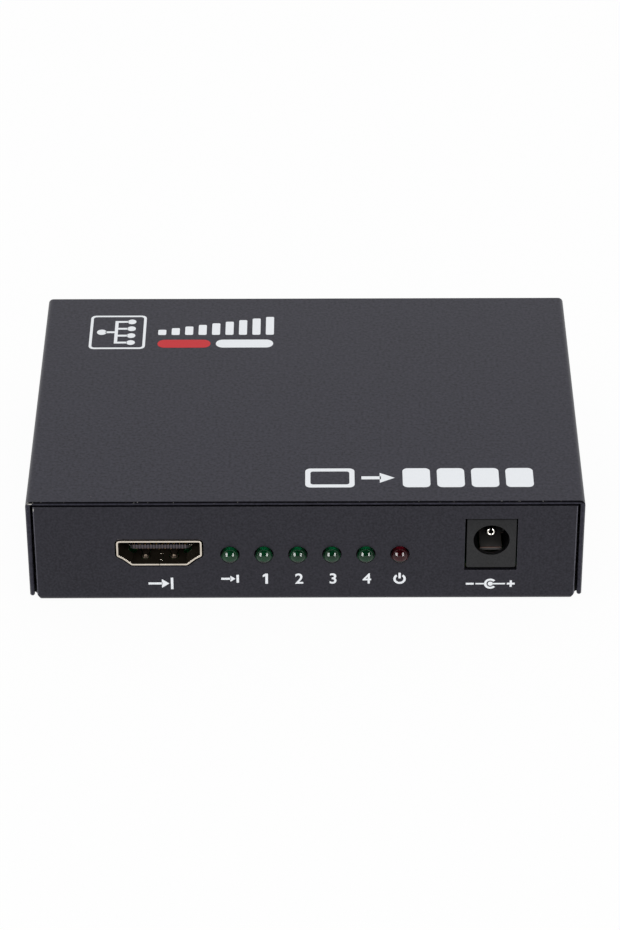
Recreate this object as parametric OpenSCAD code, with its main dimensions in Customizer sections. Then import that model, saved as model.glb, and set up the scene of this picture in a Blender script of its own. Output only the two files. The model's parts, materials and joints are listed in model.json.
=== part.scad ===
// Video signal splitter in a folded sheet-metal case. The input socket, the lamps and the
// power socket are in the front panel and four output sockets are in the rear panel.
// Millimetres, +Z up, front towards -Y, origin at the middle of the case's underside.

/* [Case] */
// Width over the cover's sides
case_w = 97; // [92:0.5:130]
// Depth of the cover from front to rear
case_d = 67.2; // [64:0.2:100]
// Height from the underside to the top face
case_h = 21.3; // [20:0.1:40]
// Thickness of the sheet metal
sheet_t = 0.8; // [0.5:0.1:1.2]
// Inside radius of every bend in the sheet
bend_in_r = 0.2; // [0.2:0.1:1]
// Gap between the cover and the edges of the tray
seam_gap = 0.4; // [0.2:0.05:0.8]
// How far the panels lie behind the cover's edges
panel_recess = 0.3; // [0:0.1:1]
// Height of the cover's side edges above the underside
skirt_lift = 1.2; // [0.3:0.1:2]
// Width of the corner cut at the foot of each panel
corner_cut_w = 0.8; // [0.4:0.1:2]
// Height of the corner cut at the foot of each panel
corner_cut_h = 1.4; // [0.6:0.1:2]

/* [Cover fastening] */
// Height of the cover screws above the underside
cover_screw_z = 9.5; // [9:0.5:12]
// Distance of the cover screws from the middle of the case
cover_screw_y = 21; // [10:1:22]
// Thread diameter of every screw
screw_d = 3; // [2.5:0.1:3.5]
// Length of the cover screws under the head
cover_screw_len = 4; // [3.5:0.5:7]
// Overhang of a screw head past its thread
head_rim = 1.25; // [0.8:0.05:1.6]
// Height of a cover screw's low head
cover_head_h = 0.8; // [0.6:0.1:2.4]
// Height of a board screw's head
board_head_h = 1.3; // [0.8:0.1:2.4]
// Depth of the cross recess as a share of the head's height
recess_share = 0.7; // [0.4:0.05:0.7]
// Width of the arms of the cross recess
recess_w = 0.8; // [0.5:0.1:1]
// Length of the tapped collar behind each cover screw
collar_len = 1.2; // [0.8:0.1:2]
// Wall of the tapped collar
collar_wall = 0.8; // [0.5:0.1:1.2]
// Sheet left above the screws on the side flanges
flange_margin = 3.5; // [3:0.1:6]
// Sheet left past the screws at the ends of the side flanges
flange_end = 7; // [4:0.5:10]
// Relief notch at each end of a side flange
flange_relief = 1.2; // [0.6:0.1:2]
// Room at each side of a cover screw in its open slot
slot_gap = 0.2; // [0.1:0.05:0.5]
// Gap between a cover screw's head and the cover
head_gap = 0.1; // [0.05:0.05:0.3]
// Room around a screw in its tapped hole
thread_gap = 0.05; // [0.02:0.01:0.1]

/* [Circuit board] */
// Thickness of the circuit board
board_t = 1.6; // [1:0.1:2]
// Height of the standoffs under the board
standoff_h = 4.5; // [3:0.1:6]
// Width of the standoffs across their flats
standoff_w = 5.5; // [5:0.1:7]
// Gap between the board and the side flanges
board_side_gap = 1; // [0.5:0.1:2]
// Gap between the board and the inside of the panels
board_end_gap = 0.7; // [0.3:0.1:1.5]
// Radius of the board's corners
board_corner_r = 1.5; // [0.5:0.1:3]
// From the board's side edge to its screws
board_screw_side = 4.3; // [4:0.1:5]
// From the board's front edge to its front screws
board_screw_front = 5.8; // [5:0.1:10]
// From the board's rear edge to its rear screws
board_screw_rear = 15.8; // [15:0.1:20]
// Room around a screw in the board
board_hole_gap = 0.15; // [0.1:0.05:0.3]
// Free thread below a board screw
screw_end_gap = 0.6; // [0.3:0.1:2]
// Room around a lead or leg in the board
lead_hole_gap = 0.15; // [0.1:0.05:0.3]
// Length of a lead or leg below the board
lead_tail = 0.9; // [0.4:0.1:1.5]

/* [Video sockets] */
// Width of a socket's shell
socket_w = 14.9; // [14.6:0.1:15.6]
// Height of a socket's shell
socket_h = 5.2; // [5:0.05:6]
// Depth of a socket's shell
socket_depth = 11; // [10.4:0.1:12]
// Thickness of a socket's shell
shell_t = 0.3; // [0.25:0.05:0.4]
// Width of a shell's floor
socket_floor_w = 9.7; // [9.3:0.1:10.2]
// Width of a shell across its knees
socket_knee_w = 12.8; // [12.4:0.1:13.4]
// Height of the knees above a shell's floor
socket_knee_h = 1.35; // [1.2:0.05:1.9]
// Height at which a shell's upright sides begin
socket_side_h = 1.95; // [1.8:0.05:2.6]
// Corner radius of a shell
shell_corner_r = 0.6; // [0.45:0.05:0.7]
// Gap between the board and a shell
shell_lift = 0.95; // [0.6:0.05:1.5]
// How far the input socket's mouth stands out of the front panel
input_proud = 0.3; // [0:0.1:1]
// How far the output sockets' mouths stand out of the rear panel
output_proud = 0.5; // [0:0.1:1]
// Gap around a socket in its panel
panel_cut_gap = 0.3; // [0.15:0.05:0.5]
// Share of that gap by which the cut-outs lie below the middle of what they hold
cut_low = 0.65; // [0:0.05:0.8]
// From the cover's left side to the middle of the input socket
input_from_left = 22.95; // [22:0.05:30]
// Spacing of the output sockets
output_pitch = 22; // [19:0.5:23]
// Slit where a shell's folded floor meets itself
seam_w = 0.08; // [0.05:0.01:0.15]
// Length of the legs along the shell
leg_w = 1.4; // [1:0.1:2]
// Shoulder at each side of a leg that stands on the board
leg_shoulder = 0.4; // [0.2:0.1:0.8]
// From the mouth to the front pair of legs
leg_front_y = 4.2; // [3.8:0.1:5]
// From the mouth to the rear pair of legs
leg_rear_y = 8.8; // [7.5:0.1:9.5]
// Dovetail key across the slit in a shell's floor
fold_key = 0.6; // [0.4:0.05:0.8]
// From the mouth to the dovetail key
fold_key_y = 1.3; // [1:0.1:2]
// Length of the dovetail key
fold_key_len = 1.6; // [1:0.1:2]
// Flare at each end of the dovetail key
fold_key_flare = 0.25; // [0.1:0.05:0.3]
// From the mouth to the windows beside a shell's floor
window_y = 3.3; // [2.5:0.1:4]
// Length of the windows beside a shell's floor
window_len = 1.7; // [1:0.1:2]
// Width of the windows beside a shell's floor
window_w = 1.4; // [0.8:0.1:1.6]

/* [Socket insulators and contacts] */
// Width of the tongue
tongue_w = 10.2; // [9.8:0.1:11]
// Thickness of the tongue
tongue_t = 0.7; // [0.6:0.1:1.2]
// Clear height under the tongue
tongue_clear = 1.95; // [1.8:0.05:2.5]
// Depth of the tongue's tip behind the mouth
tongue_y = 2; // [1:0.1:2.5]
// Depth of the insulator's block behind the mouth
block_y = 6.7; // [6.6:0.1:8]
// Room between an insulator and its shell
insulator_gap = 0.03; // [0.02:0.01:0.1]
// Number of contacts in a socket
contact_count = 19; // [9:2:19]
// Spacing of the contacts
contact_pitch = 0.5; // [0.45:0.01:0.52]
// Width of a contact
contact_w = 0.3; // [0.2:0.05:0.4]
// Thickness of a contact
contact_t = 0.15; // [0.1:0.05:0.2]
// Room around a contact in the insulator
contact_gap = 0.02; // [0.01:0.01:0.04]
// From the tongue's tip to the contacts
contact_set_back = 0.1; // [0.05:0.05:1]
// Gap between an insulator's rear face and the contacts' tails
tail_gap = 0.3; // [0.2:0.1:1]
// Length of the contacts' tails on the board
tail_len = 1.2; // [0.8:0.1:2]

/* [Socket springs] */
// Distance of the spring fingers from the socket's middle
finger_x = 2.5; // [2.2:0.05:2.8]
// Depth of a finger's root behind the mouth
finger_root_y = 6.3; // [5.8:0.1:6.5]
// Diameter of a finger's round head
finger_head_d = 1.3; // [1.1:0.1:1.5]
// Width of a finger at its neck
finger_neck_w = 0.9; // [0.7:0.1:1]
// Depth of a finger's neck behind the mouth
finger_neck_y = 3.4; // [3.3:0.1:4]
// Width of a finger at its root
finger_root_w = 2.6; // [2:0.1:3.2]
// How far a finger bows into the socket
finger_bow = 0.3; // [0.1:0.05:0.5]
// Depth of a finger's dimple behind the mouth
dimple_y = 2.3; // [2:0.1:2.6]
// Diameter of a finger's dimple at its foot
dimple_d = 0.9; // [0.6:0.1:1]
// Height of a finger's dimple
dimple_h = 0.25; // [0.1:0.05:0.4]
// Slot around a finger
finger_gap = 0.2; // [0.15:0.05:0.3]
// Gap between a finger's root and the shell
root_gap = 0.06; // [0.05:0.01:0.15]

/* [Lamps] */
// Diameter of a lamp's lens
lamp_d = 3; // [2.5:0.1:3.2]
// Room around a lamp in the front panel
lamp_hole_gap = 0.2; // [0.1:0.05:0.4]
// Length of a lens behind its dome
lamp_len = 3.4; // [2.5:0.1:4.5]
// Rim of the flange past the lens
lamp_rim = 0.4; // [0.2:0.05:0.5]
// Thickness of the flange
lamp_flange_t = 0.8; // [0.5:0.1:1.2]
// Height of the lamps' axis above the board
lamp_axis_h = 3; // [2.6:0.05:5]
// How far the dome's centre stands out of the front panel
lamp_proud = 0; // [-0.5:0.1:0.8]
// Spacing of the lamps
lamp_pitch = 5.94; // [5.4:0.01:6.4]
// From the input socket's middle to the first lamp
lamp_from_input = 12.35; // [11.5:0.05:14]
// Side of a lamp's square leads
lamp_lead_w = 0.5; // [0.4:0.05:0.6]
// Spacing of a lamp's leads
lamp_lead_pitch = 2.54; // [2:0.01:2.6]
// Depth of the leads inside the flange
lamp_lead_in = 0.6; // [0.3:0.1:0.7]
// Depth of the leads' bend behind the flange
lamp_lead_run = 1.8; // [1:0.1:4]

/* [Power socket] */
// From the cover's right side to the middle of the power socket
jack_from_right = 16.05; // [15:0.05:20]
// Width of the housing
jack_w = 8.6; // [8.2:0.1:10]
// Height of the housing
jack_h = 10.4; // [10:0.1:11.5]
// Depth of the housing
jack_depth = 13.2; // [12.6:0.1:15]
// Depth of the housing's square front
jack_front_d = 3.4; // [2.5:0.1:4.5]
// Step from the square front to the housing's barrel
jack_step = 0.35; // [0.2:0.05:0.5]
// How far the housing's face lies behind the panel's face
jack_inset = 0.2; // [0:0.1:0.6]
// Share of the panel's gap by which the cut-out lies to the left of the housing's middle
jack_cut_left = 0.2; // [0:0.05:0.8]
// Diameter of the bore
bore_d = 6.3; // [6:0.1:6.5]
// Depth of the bore
bore_depth = 9.5; // [8.5:0.1:10]
// Height of the bore's axis above the board
bore_h = 5.8; // [5.6:0.1:6.5]
// Diameter of the centre pin
pin_d = 2; // [1.6:0.05:2.5]
// Depth of the pin's tip behind the face
pin_tip_y = 2.4; // [1.5:0.1:4]
// Diameter of the pin's rivet neck
rivet_d = 1.4; // [1:0.1:1.6]
// Thickness of the wall behind the bore
jack_wall = 1.7; // [1.2:0.1:2.4]
// Thickness of the terminals and the leaf spring
strip_t = 0.3; // [0.2:0.05:0.4]
// Width of the terminals' legs in the board
terminal_leg_w = 2.4; // [1.6:0.1:3]
// Width of the leaf spring
leaf_w = 3.9; // [3.4:0.1:4.2]
// Depth of the leaf's tip behind the face
leaf_tip_y = 1.3; // [1.2:0.1:3]
// Depth of the leaf's root behind the face
leaf_root_y = 9.2; // [8.6:0.1:9.6]
// Height of the leaf's flat above the bottom of the bore
leaf_rise = 0.6; // [0.3:0.05:0.9]
// Length of the slope from the leaf's root to its flat
leaf_ramp = 1.6; // [1:0.1:2.4]
// Height of the bent lip at the leaf's tip
leaf_lip = 0.5; // [0.3:0.05:0.8]
// Room around the leaf in the housing
leaf_gap = 0.35; // [0.25:0.05:0.5]
// Length of the leaf's ear and of the shunt contact over it
ear_len = 1.2; // [0.8:0.1:1.6]
// Gap between the ear and the shunt contact at rest
ear_gap = 0.1; // [0.05:0.05:0.2]

/* [Board parts] */
// Width of the splitter chip
chip_w = 14; // [12:0.5:15]
// Thickness of the splitter chip
chip_t = 1.4; // [1:0.1:2]
// Leads on each side of the splitter chip
chip_leads = 20; // [12:1:20]
// Spacing of the splitter chip's leads
chip_pitch = 0.65; // [0.5:0.05:0.65]
// Gap between a chip's body and the board
chip_lift = 0.1; // [0.05:0.05:0.2]
// Thickness of a chip's leads
chip_lead_t = 0.15; // [0.1:0.05:0.2]
// Reach of a chip's leads past its body
chip_lead_reach = 1.1; // [0.9:0.1:1.5]
// Diameter of the electrolytic capacitors
can_d = 6.3; // [5:0.1:7]
// Height of the electrolytic capacitors over their bases
can_h = 5.2; // [4:0.1:8]
// Width of the power inductor
inductor_w = 7; // [6:0.1:8]
// Height of the power inductor
inductor_h = 3.2; // [2:0.1:4.5]
// Length of the crystal's can
crystal_len = 10.6; // [8:0.1:12]
// Width of the crystal's can
crystal_w = 4.3; // [3.5:0.1:5]
// Height of the crystal's can
crystal_h = 3.3; // [2.5:0.1:4]
// Rim around the foot of the crystal's can
crystal_rim = 0.3; // [0.1:0.05:0.5]
// Length of the diode
diode_len = 4.4; // [3.5:0.1:5.5]
// Width of the diode
diode_w = 2.6; // [2:0.1:3.5]
// Height of the diode
diode_h = 2.1; // [1.5:0.1:2.5]
// Length of the chip capacitors and resistors
chip_part_len = 1.6; // [1.2:0.1:2]
// Width of the chip capacitors and resistors
chip_part_w = 0.8; // [0.6:0.1:1]

/* [Hidden] */
$fn = 48;
// Steps in a rounded corner
arc_steps = 5;
// How far a cutter reaches past what it cuts
over = 1;

// Levels and places that follow from the sizes above
bend_out_r = bend_in_r + sheet_t;
panel_y = case_d / 2 - panel_recess;
panel_in_y = panel_y - sheet_t;
tray_half_w = case_w / 2 - sheet_t - seam_gap;
panel_top = case_h - sheet_t - seam_gap;
board_z = sheet_t + standoff_h;
board_top = board_z + board_t;
board_half_w = tray_half_w - sheet_t - board_side_gap;
board_half_d = panel_in_y - board_end_gap;
input_x = input_from_left - case_w / 2;
output_x = [for (i = [-1.5:1:1.5]) -i * output_pitch];
lamp_x = [for (i = [0:5]) input_x + lamp_from_input + i * lamp_pitch];
lamp_y = -panel_y - lamp_proud;
lamp_z = board_top + lamp_axis_h;
jack_x = case_w / 2 - jack_from_right;
jack_y = -panel_y + jack_inset;
cut_drop = cut_low * panel_cut_gap;
jack_cut_shift = jack_cut_left * panel_cut_gap;
screw_head_d = screw_d + 2 * head_rim;
flange_top = cover_screw_z + flange_margin;
flange_len = 2 * (cover_screw_y + flange_end);
board_screw_x = board_half_w - board_screw_side;
board_screw_y = [-board_half_d + board_screw_front, board_half_d - board_screw_rear];
through_len = board_t + lead_tail;
leg_y = [leg_front_y, leg_rear_y];

// Sockets: name, place and turn
sockets = concat(
    [["input", [input_x, -panel_y - input_proud], 0]],
    [for (i = [0:3]) [str("output_", i + 1), [output_x[i], panel_y + output_proud], 180]]
);
lamps = ["lamp_input", "lamp_output_1", "lamp_output_2", "lamp_output_3", "lamp_output_4", "lamp_power"];

// Places of the parts on the board, from its middle
chip_at = [0, 1];
memory_at = [[-22, 7], [-22, -4]];
regulator_at = [[22, -6], [22, 4]];
crystal_at = [0, -13.5];
can_at = [[33.5, -11], [33.5, -1], [-33.5, -6]];
inductor_at = [33, 9];
diode_at = [21, -14];

socket_pieces = ["shell", "insulator", "contacts", "lower_springs", "upper_springs"];

// Unit vector along v
function unit(v) = v / norm(v);

// Arc of a given radius that replaces the corner at b between a and c
function corner_arc(a, b, c, r) =
    let (to_a = unit(a - b),
         to_c = unit(c - b),
         half = acos(to_a * to_c) / 2,
         reach = r / tan(half),
         centre = b + unit(to_a + to_c) * r / sin(half),
         from = b + to_a * reach - centre,
         till = b + to_c * reach - centre,
         a0 = atan2(from.y, from.x),
         swing = atan2(till.y, till.x) - a0,
         turn = swing > 180 ? swing - 360 : swing < -180 ? swing + 360 : swing)
    [for (i = [0:arc_steps]) centre + r * [cos(a0 + turn * i / arc_steps), sin(a0 + turn * i / arc_steps)]];

// Closed outline with a radius at each corner, 0 for a sharp one
function rounded(points, radii) =
    let (n = len(points))
    [for (i = [0:n - 1])
        each radii[i] > 0
            ? corner_arc(points[(i + n - 1) % n], points[i], points[(i + 1) % n], radii[i])
            : [points[i]]];

// Closed anticlockwise outline moved outwards by g, or inwards where g is negative
function grown(points, g) =
    let (n = len(points),
         out = [for (i = [0:n - 1]) let (d = unit(points[(i + 1) % n] - points[i])) [d.y, -d.x]])
    [for (i = [0:n - 1])
        let (n1 = out[(i + n - 1) % n], n2 = out[i])
        points[i] + (n1 + n2) * g / (1 + n1 * n2)];

// Left-hand normal of a path at point i, lengthened at bends so that the strip keeps its thickness
function path_normal(path, i) =
    let (last = len(path) - 1,
         d1 = unit(i == 0 ? path[1] - path[0] : path[i] - path[i - 1]),
         d2 = unit(i == last ? path[i] - path[i - 1] : path[i + 1] - path[i]),
         n1 = [-d1.y, d1.x],
         n2 = [-d2.y, d2.x])
    (n1 + n2) / (1 + n1 * n2);

// Outline of a bent strip of thickness t along the middle line given
function ribbon(path, t) = concat(
    [for (i = [0:len(path) - 1]) path[i] + path_normal(path, i) * t / 2],
    [for (i = [len(path) - 1:-1:0]) path[i] - path_normal(path, i) * t / 2]
);

// Rectangle around the origin
function rectangle(w, h) = [[-w / 2, -h / 2], [w / 2, -h / 2], [w / 2, h / 2], [-w / 2, h / 2]];

// Upright slot with a round top: width w, from z0 up to the round end's centre z1
function slot_outline(w, z0, z1) = concat(
    [[-w / 2, z0], [w / 2, z0]],
    [for (i = [0:4 * arc_steps]) [0, z1] + w / 2 * [cos(i * 45 / arc_steps), sin(i * 45 / arc_steps)]]
);

// Outline in XZ, drawn out along Y
module along_y(len, points, centred = false) {
    translate([0, centred ? len / 2 : len, 0])
        rotate([90, 0, 0])
            linear_extrude(len)
                polygon(points);
}

// Outline in YZ, drawn out along X and centred on it
module along_x(len, points) {
    rotate([90, 0, 90])
        linear_extrude(len, center = true)
            polygon(points);
}

// Block with its foot on the XY plane, centred on the Z axis
module block(size) {
    translate([-size.x / 2, -size.y / 2, 0])
        cube(size);
}

// Outline of a video socket in XZ with its floor on the X axis
function socket_outline() = [
    [-socket_floor_w / 2, 0],
    [socket_floor_w / 2, 0],
    [socket_knee_w / 2, socket_knee_h],
    [socket_w / 2, socket_side_h],
    [socket_w / 2, socket_h],
    [-socket_w / 2, socket_h],
    [-socket_w / 2, socket_side_h],
    [-socket_knee_w / 2, socket_knee_h]
];

// The same outline moved out by g, with corners rounded to suit
function socket_section(g) =
    rounded(grown(socket_outline(), g), [for (i = [0:7]) max(shell_corner_r + g, shell_corner_r / 4)]);

// Cover's cross-section in XZ
function cover_section() =
    let (w = case_w / 2, wi = w - sheet_t, top = case_h - sheet_t)
    rounded(
        [[-w, skirt_lift], [-wi, skirt_lift], [-wi, top], [wi, top],
         [wi, skirt_lift], [w, skirt_lift], [w, case_h], [-w, case_h]],
        [0, 0, bend_in_r, bend_in_r, 0, 0, bend_out_r, bend_out_r]
    );

// Tray's cross-section in YZ: front panel, floor and rear panel
function tray_section() = rounded(
    [[-panel_y, 0], [panel_y, 0], [panel_y, panel_top], [panel_in_y, panel_top],
     [panel_in_y, sheet_t], [-panel_in_y, sheet_t], [-panel_in_y, panel_top], [-panel_y, panel_top]],
    [bend_out_r, bend_out_r, 0, 0, bend_in_r, bend_in_r, 0, 0]
);

// Corner cut at the foot of a panel in XZ, from the panel's side edge
function corner_cut_section() =
    let (slope = corner_cut_h / corner_cut_w)
    [[over, -over], [over, corner_cut_h + over * slope], [-corner_cut_w - over / slope, -over]];

// Side flange's cross-section in XZ at the tray's right edge
function flange_section() =
    let (w = tray_half_w, wi = tray_half_w - sheet_t, root = tray_half_w - 2 * bend_out_r)
    rounded(
        [[root, 0], [w, 0], [w, flange_top], [wi, flange_top], [wi, sheet_t], [root, sheet_t]],
        [0, bend_out_r, 0, 0, bend_in_r, 0]
    );

// Pan head screw with its thread pointing down from the origin
module screw(length, head_h) {
    head_edge = head_h / 2;
    recess_depth = head_h * recess_share;
    difference() {
        union() {
            translate([0, 0, -length])
                cylinder(d = screw_d, h = length);
            cylinder(d = screw_head_d, h = head_edge);
            translate([0, 0, head_edge])
                cylinder(d1 = screw_head_d, d2 = screw_head_d - 2 * head_edge, h = head_h - head_edge);
        }
        for (turn = [0, 90])
            rotate([0, 0, turn])
                translate([0, 0, head_h - recess_depth])
                    block([screw_d, recess_w, recess_depth + over]);
    }
}

// Places of the cover screws, with the screw's axis turned to X
module at_cover_screws() {
    for (side = [-1, 1], end = [-1, 1])
        translate([side * (case_w / 2 + head_gap), end * cover_screw_y, cover_screw_z])
            rotate([0, side * 90, 0])
                children();
}

// Places of the board screws
module at_board_screws() {
    for (side = [-1, 1], y = board_screw_y)
        translate([side * board_screw_x, y, 0])
            children();
}

// Places of the lamps, with the dome's centre at the origin and the lens behind it along Y
module at_lamps() {
    for (x = lamp_x)
        translate([x, lamp_y, lamp_z])
            children();
}

// Place of one socket, standing on the board with its mouth at the origin
module at_socket(s) {
    translate([s[1].x, s[1].y, board_top])
        rotate([0, 0, s[2]])
            children();
}

// Place of the power socket, standing on the board with its face at the origin
module at_jack() {
    translate([jack_x, jack_y, board_top])
        children();
}

module base_tray() {
    socket_cut_len = sheet_t + max(input_proud, output_proud) + 2 * over;
    color("#37373b")
    difference() {
        union() {
            difference() {
                along_x(2 * tray_half_w, tray_section());
                for (side = [-1, 1])
                    translate([side * tray_half_w, 0, -over])
                        block([2 * bend_out_r, flange_len + 2 * flange_relief, sheet_t + 2 * over]);
            }
            for (side = [0, 1])
                mirror([side, 0, 0])
                    along_y(flange_len, flange_section(), true);
            for (side = [-1, 1], end = [-1, 1])
                translate([side * (tray_half_w - sheet_t), end * cover_screw_y, cover_screw_z])
                    rotate([0, -side * 90, 0])
                        cylinder(d = screw_d + 2 * (thread_gap + collar_wall), h = collar_len);
        }
        at_cover_screws()
            translate([0, 0, -case_w / 4])
                cylinder(d = screw_d + 2 * thread_gap, h = case_w / 4 + over);
        for (side = [0, 1], end = [0, 1])
            mirror([side, 0, 0])
                mirror([0, end, 0])
                    translate([tray_half_w, panel_y - 2 * bend_out_r, 0])
                        along_y(2 * bend_out_r + over, corner_cut_section());
        for (s = sockets)
            at_socket(s)
                translate([0, -over, shell_lift - cut_drop])
                    along_y(socket_cut_len, socket_section(panel_cut_gap));
        at_lamps()
            rotate([90, 0, 0])
                cylinder(d = lamp_d + 2 * lamp_hole_gap, h = 2 * (sheet_t + over), center = true);
        at_jack()
            translate([-jack_cut_shift, -over - jack_inset, jack_h / 2 - cut_drop])
                along_y(sheet_t + 2 * over, grown(rectangle(jack_w, jack_h), panel_cut_gap));
    }
}

module top_cover() {
    color("#47464b")
    difference() {
        along_y(case_d, cover_section(), true);
        for (side = [-1, 1], end = [-1, 1])
            translate([side * case_w / 2, end * cover_screw_y, 0])
                along_x(2 * sheet_t + over, slot_outline(screw_d + 2 * slot_gap, -over, cover_screw_z));
    }
}

module cover_screws() {
    color("#2b2b2e")
    at_cover_screws()
        screw(cover_screw_len, cover_head_h);
}

module board_standoffs() {
    color("#c9c4b4")
    at_board_screws()
        translate([0, 0, sheet_t])
            difference() {
                cylinder(d = standoff_w / cos(30), h = standoff_h, $fn = 6);
                translate([0, 0, -over])
                    cylinder(d = screw_d + 2 * thread_gap, h = standoff_h + 2 * over);
            }
}

module board_screws() {
    color("#b9b9bd")
    at_board_screws()
        translate([0, 0, board_top])
            screw(board_t + standoff_h - screw_end_gap, board_head_h);
}

// Leg slots of one socket in the board
module shell_leg_slots() {
    for (side = [-1, 1], y = leg_y)
        translate([side * (socket_w - shell_t) / 2, y, 0])
            block([shell_t + 2 * lead_hole_gap, leg_w + 2 * lead_hole_gap, board_t + 2 * over]);
}

// Lead holes of one lamp in the board
module lamp_lead_holes() {
    for (side = [-1, 1])
        translate([side * lamp_lead_pitch / 2, lamp_len + lamp_flange_t + lamp_lead_run, 0])
            cylinder(d = lamp_lead_w * sqrt(2) + 2 * lead_hole_gap, h = board_t + 2 * over, $fn = 24);
}

// Terminal slots of the power socket in the board
module jack_slots() {
    slot_w = terminal_leg_w + 2 * lead_hole_gap;
    slot_t = strip_t + 2 * lead_hole_gap;
    for (y = [pin_terminal_y, leaf_terminal_y])
        translate([0, y, 0])
            block([slot_w, slot_t, board_t + 2 * over]);
    translate([shunt_x, shunt_y, 0])
        block([slot_t, ear_len + 2 * lead_hole_gap, board_t + 2 * over]);
}

module circuit_board() {
    outline = rectangle(2 * board_half_w, 2 * board_half_d);
    color("#1f5c34")
    difference() {
        translate([0, 0, board_z])
            linear_extrude(board_t)
                polygon(rounded(outline, [for (i = [0:3]) board_corner_r]));
        at_board_screws()
            translate([0, 0, board_z - over])
                cylinder(d = screw_d + 2 * board_hole_gap, h = board_t + 2 * over);
        for (s = sockets)
            at_socket(s)
                translate([0, 0, -board_t - over])
                    shell_leg_slots();
        for (x = lamp_x)
            translate([x, lamp_y, board_z - over])
                lamp_lead_holes();
        at_jack()
            translate([0, 0, -board_t - over])
                jack_slots();
    }
}

// Spring finger in plan at its own X, with its round head towards the mouth
function finger_plan() =
    let (from = 145, till = 395, steps = 4 * arc_steps)
    concat(
        [[-finger_root_w / 2, finger_root_y], [-finger_neck_w / 2, finger_neck_y]],
        [for (i = [0:steps])
            let (a = from + (till - from) * i / steps)
            [0, dimple_y] + finger_head_d / 2 * [cos(a), sin(a)]],
        [[finger_neck_w / 2, finger_neck_y], [finger_root_w / 2, finger_root_y]]
    );

// Slot in plan that a finger lies in: wider all round, but close at the root
function finger_slot_plan() =
    let (wide = grown(finger_plan(), finger_gap),
         last = len(wide) - 1,
         end = finger_root_y + root_gap)
    [for (i = [0:last]) i == 0 || i == last ? [wide[i].x, end] : wide[i]];

// Line in plan where a shell's folded floor meets itself, with its dovetail key
function fold_line() =
    let (y1 = fold_key_y, y2 = fold_key_y + fold_key_len)
    [[0, -over], [0, y1], [fold_key, y1 - fold_key_flare], [fold_key, y2 + fold_key_flare],
     [0, y2], [0, socket_depth + over]];

// Folded metal shell of one socket, with its mouth at the origin
module video_shell() {
    leg_top = socket_side_h + shell_corner_r;
    color("#c8bfae")
    translate([0, 0, shell_lift])
        difference() {
            union() {
                difference() {
                    along_y(socket_depth, socket_section(0));
                    translate([0, -over, 0])
                        along_y(socket_depth + 2 * over, socket_section(-shell_t));
                }
                for (side = [-1, 1], y = leg_y)
                    translate([side * (socket_w - shell_t) / 2, y, -shell_lift]) {
                        block([shell_t, leg_w + 2 * leg_shoulder, shell_lift + leg_top]);
                        translate([0, 0, -through_len])
                            block([shell_t, leg_w, through_len + shell_lift]);
                    }
            }
            for (side = [-1, 1], z = [-over, socket_h - 2 * shell_t])
                translate([side * finger_x, 0, z])
                    linear_extrude(2 * shell_t + over)
                        polygon(finger_slot_plan());
            for (side = [-1, 1])
                translate([side * socket_floor_w / 2, window_y + window_len / 2, -over])
                    block([window_w, window_len, over + socket_knee_h]);
            translate([0, 0, -over])
                linear_extrude(shell_t + 2 * over)
                    polygon(ribbon(fold_line(), seam_w));
        }
}

// Levels of the two contact rows above the board
upper_row_z = shell_lift + shell_t + tongue_clear + tongue_t + contact_t / 2;
lower_row_z = shell_lift + shell_t + tongue_clear - contact_t / 2;
contact_tail_y = socket_depth + tail_gap;

// Place of each contact across the socket; even ones are in the upper row
function contact_x(i) = (i - (contact_count - 1) / 2) * contact_pitch;
function contact_z(i) = i % 2 == 0 ? upper_row_z : lower_row_z;

// Plastic body of one socket: the block that fills the shell's rear, and the tongue
module video_insulator() {
    slot_w = contact_w + 2 * contact_gap;
    slot_h = contact_t + 2 * contact_gap;
    color("#1a1a1c")
    difference() {
        union() {
            translate([0, block_y, shell_lift])
                along_y(socket_depth - block_y, socket_section(-shell_t - insulator_gap));
            translate([0, (tongue_y + block_y) / 2, shell_lift + shell_t + tongue_clear])
                block([tongue_w, block_y - tongue_y, tongue_t]);
        }
        for (i = [0:contact_count - 1])
            translate([contact_x(i), (block_y + socket_depth) / 2, contact_z(i) - slot_h / 2])
                block([slot_w, socket_depth - block_y + 2 * over, slot_h]);
    }
}

// Nineteen bent contacts of one socket, along the tongue and down to the board
module video_contacts() {
    color("#c9a24b")
    for (i = [0:contact_count - 1])
        translate([contact_x(i), 0, 0])
            along_x(contact_w, ribbon([
                [tongue_y + contact_set_back, contact_z(i)],
                [contact_tail_y, contact_z(i)],
                [contact_tail_y, contact_t / 2],
                [contact_tail_y + tail_len, contact_t / 2]
            ], contact_t));
}

// Pair of spring fingers in a shell's floor, bowed into the socket, with their dimples
module video_fingers() {
    mid = shell_t / 2;
    bend_y = (finger_root_y + dimple_y) / 2;
    path = [[finger_root_y, mid], [bend_y, mid], [dimple_y, mid + finger_bow],
        [dimple_y - finger_head_d / 2 - over, mid]];
    color("#cfc7b6")
    for (side = [-1, 1])
        translate([side * finger_x, 0, 0]) {
            intersection() {
                along_x(finger_root_w, ribbon(path, shell_t));
                translate([0, 0, -over])
                    linear_extrude(shell_t + finger_bow + 2 * over)
                        polygon(finger_plan());
            }
            translate([0, dimple_y, shell_t + finger_bow / 2])
                cylinder(d1 = dimple_d, d2 = dimple_d / 2, h = finger_bow / 2 + dimple_h);
        }
}

module video_lower_springs() {
    translate([0, 0, shell_lift])
        video_fingers();
}

module video_upper_springs() {
    translate([0, 0, shell_lift + socket_h])
        mirror([0, 0, 1])
            video_fingers();
}

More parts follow.
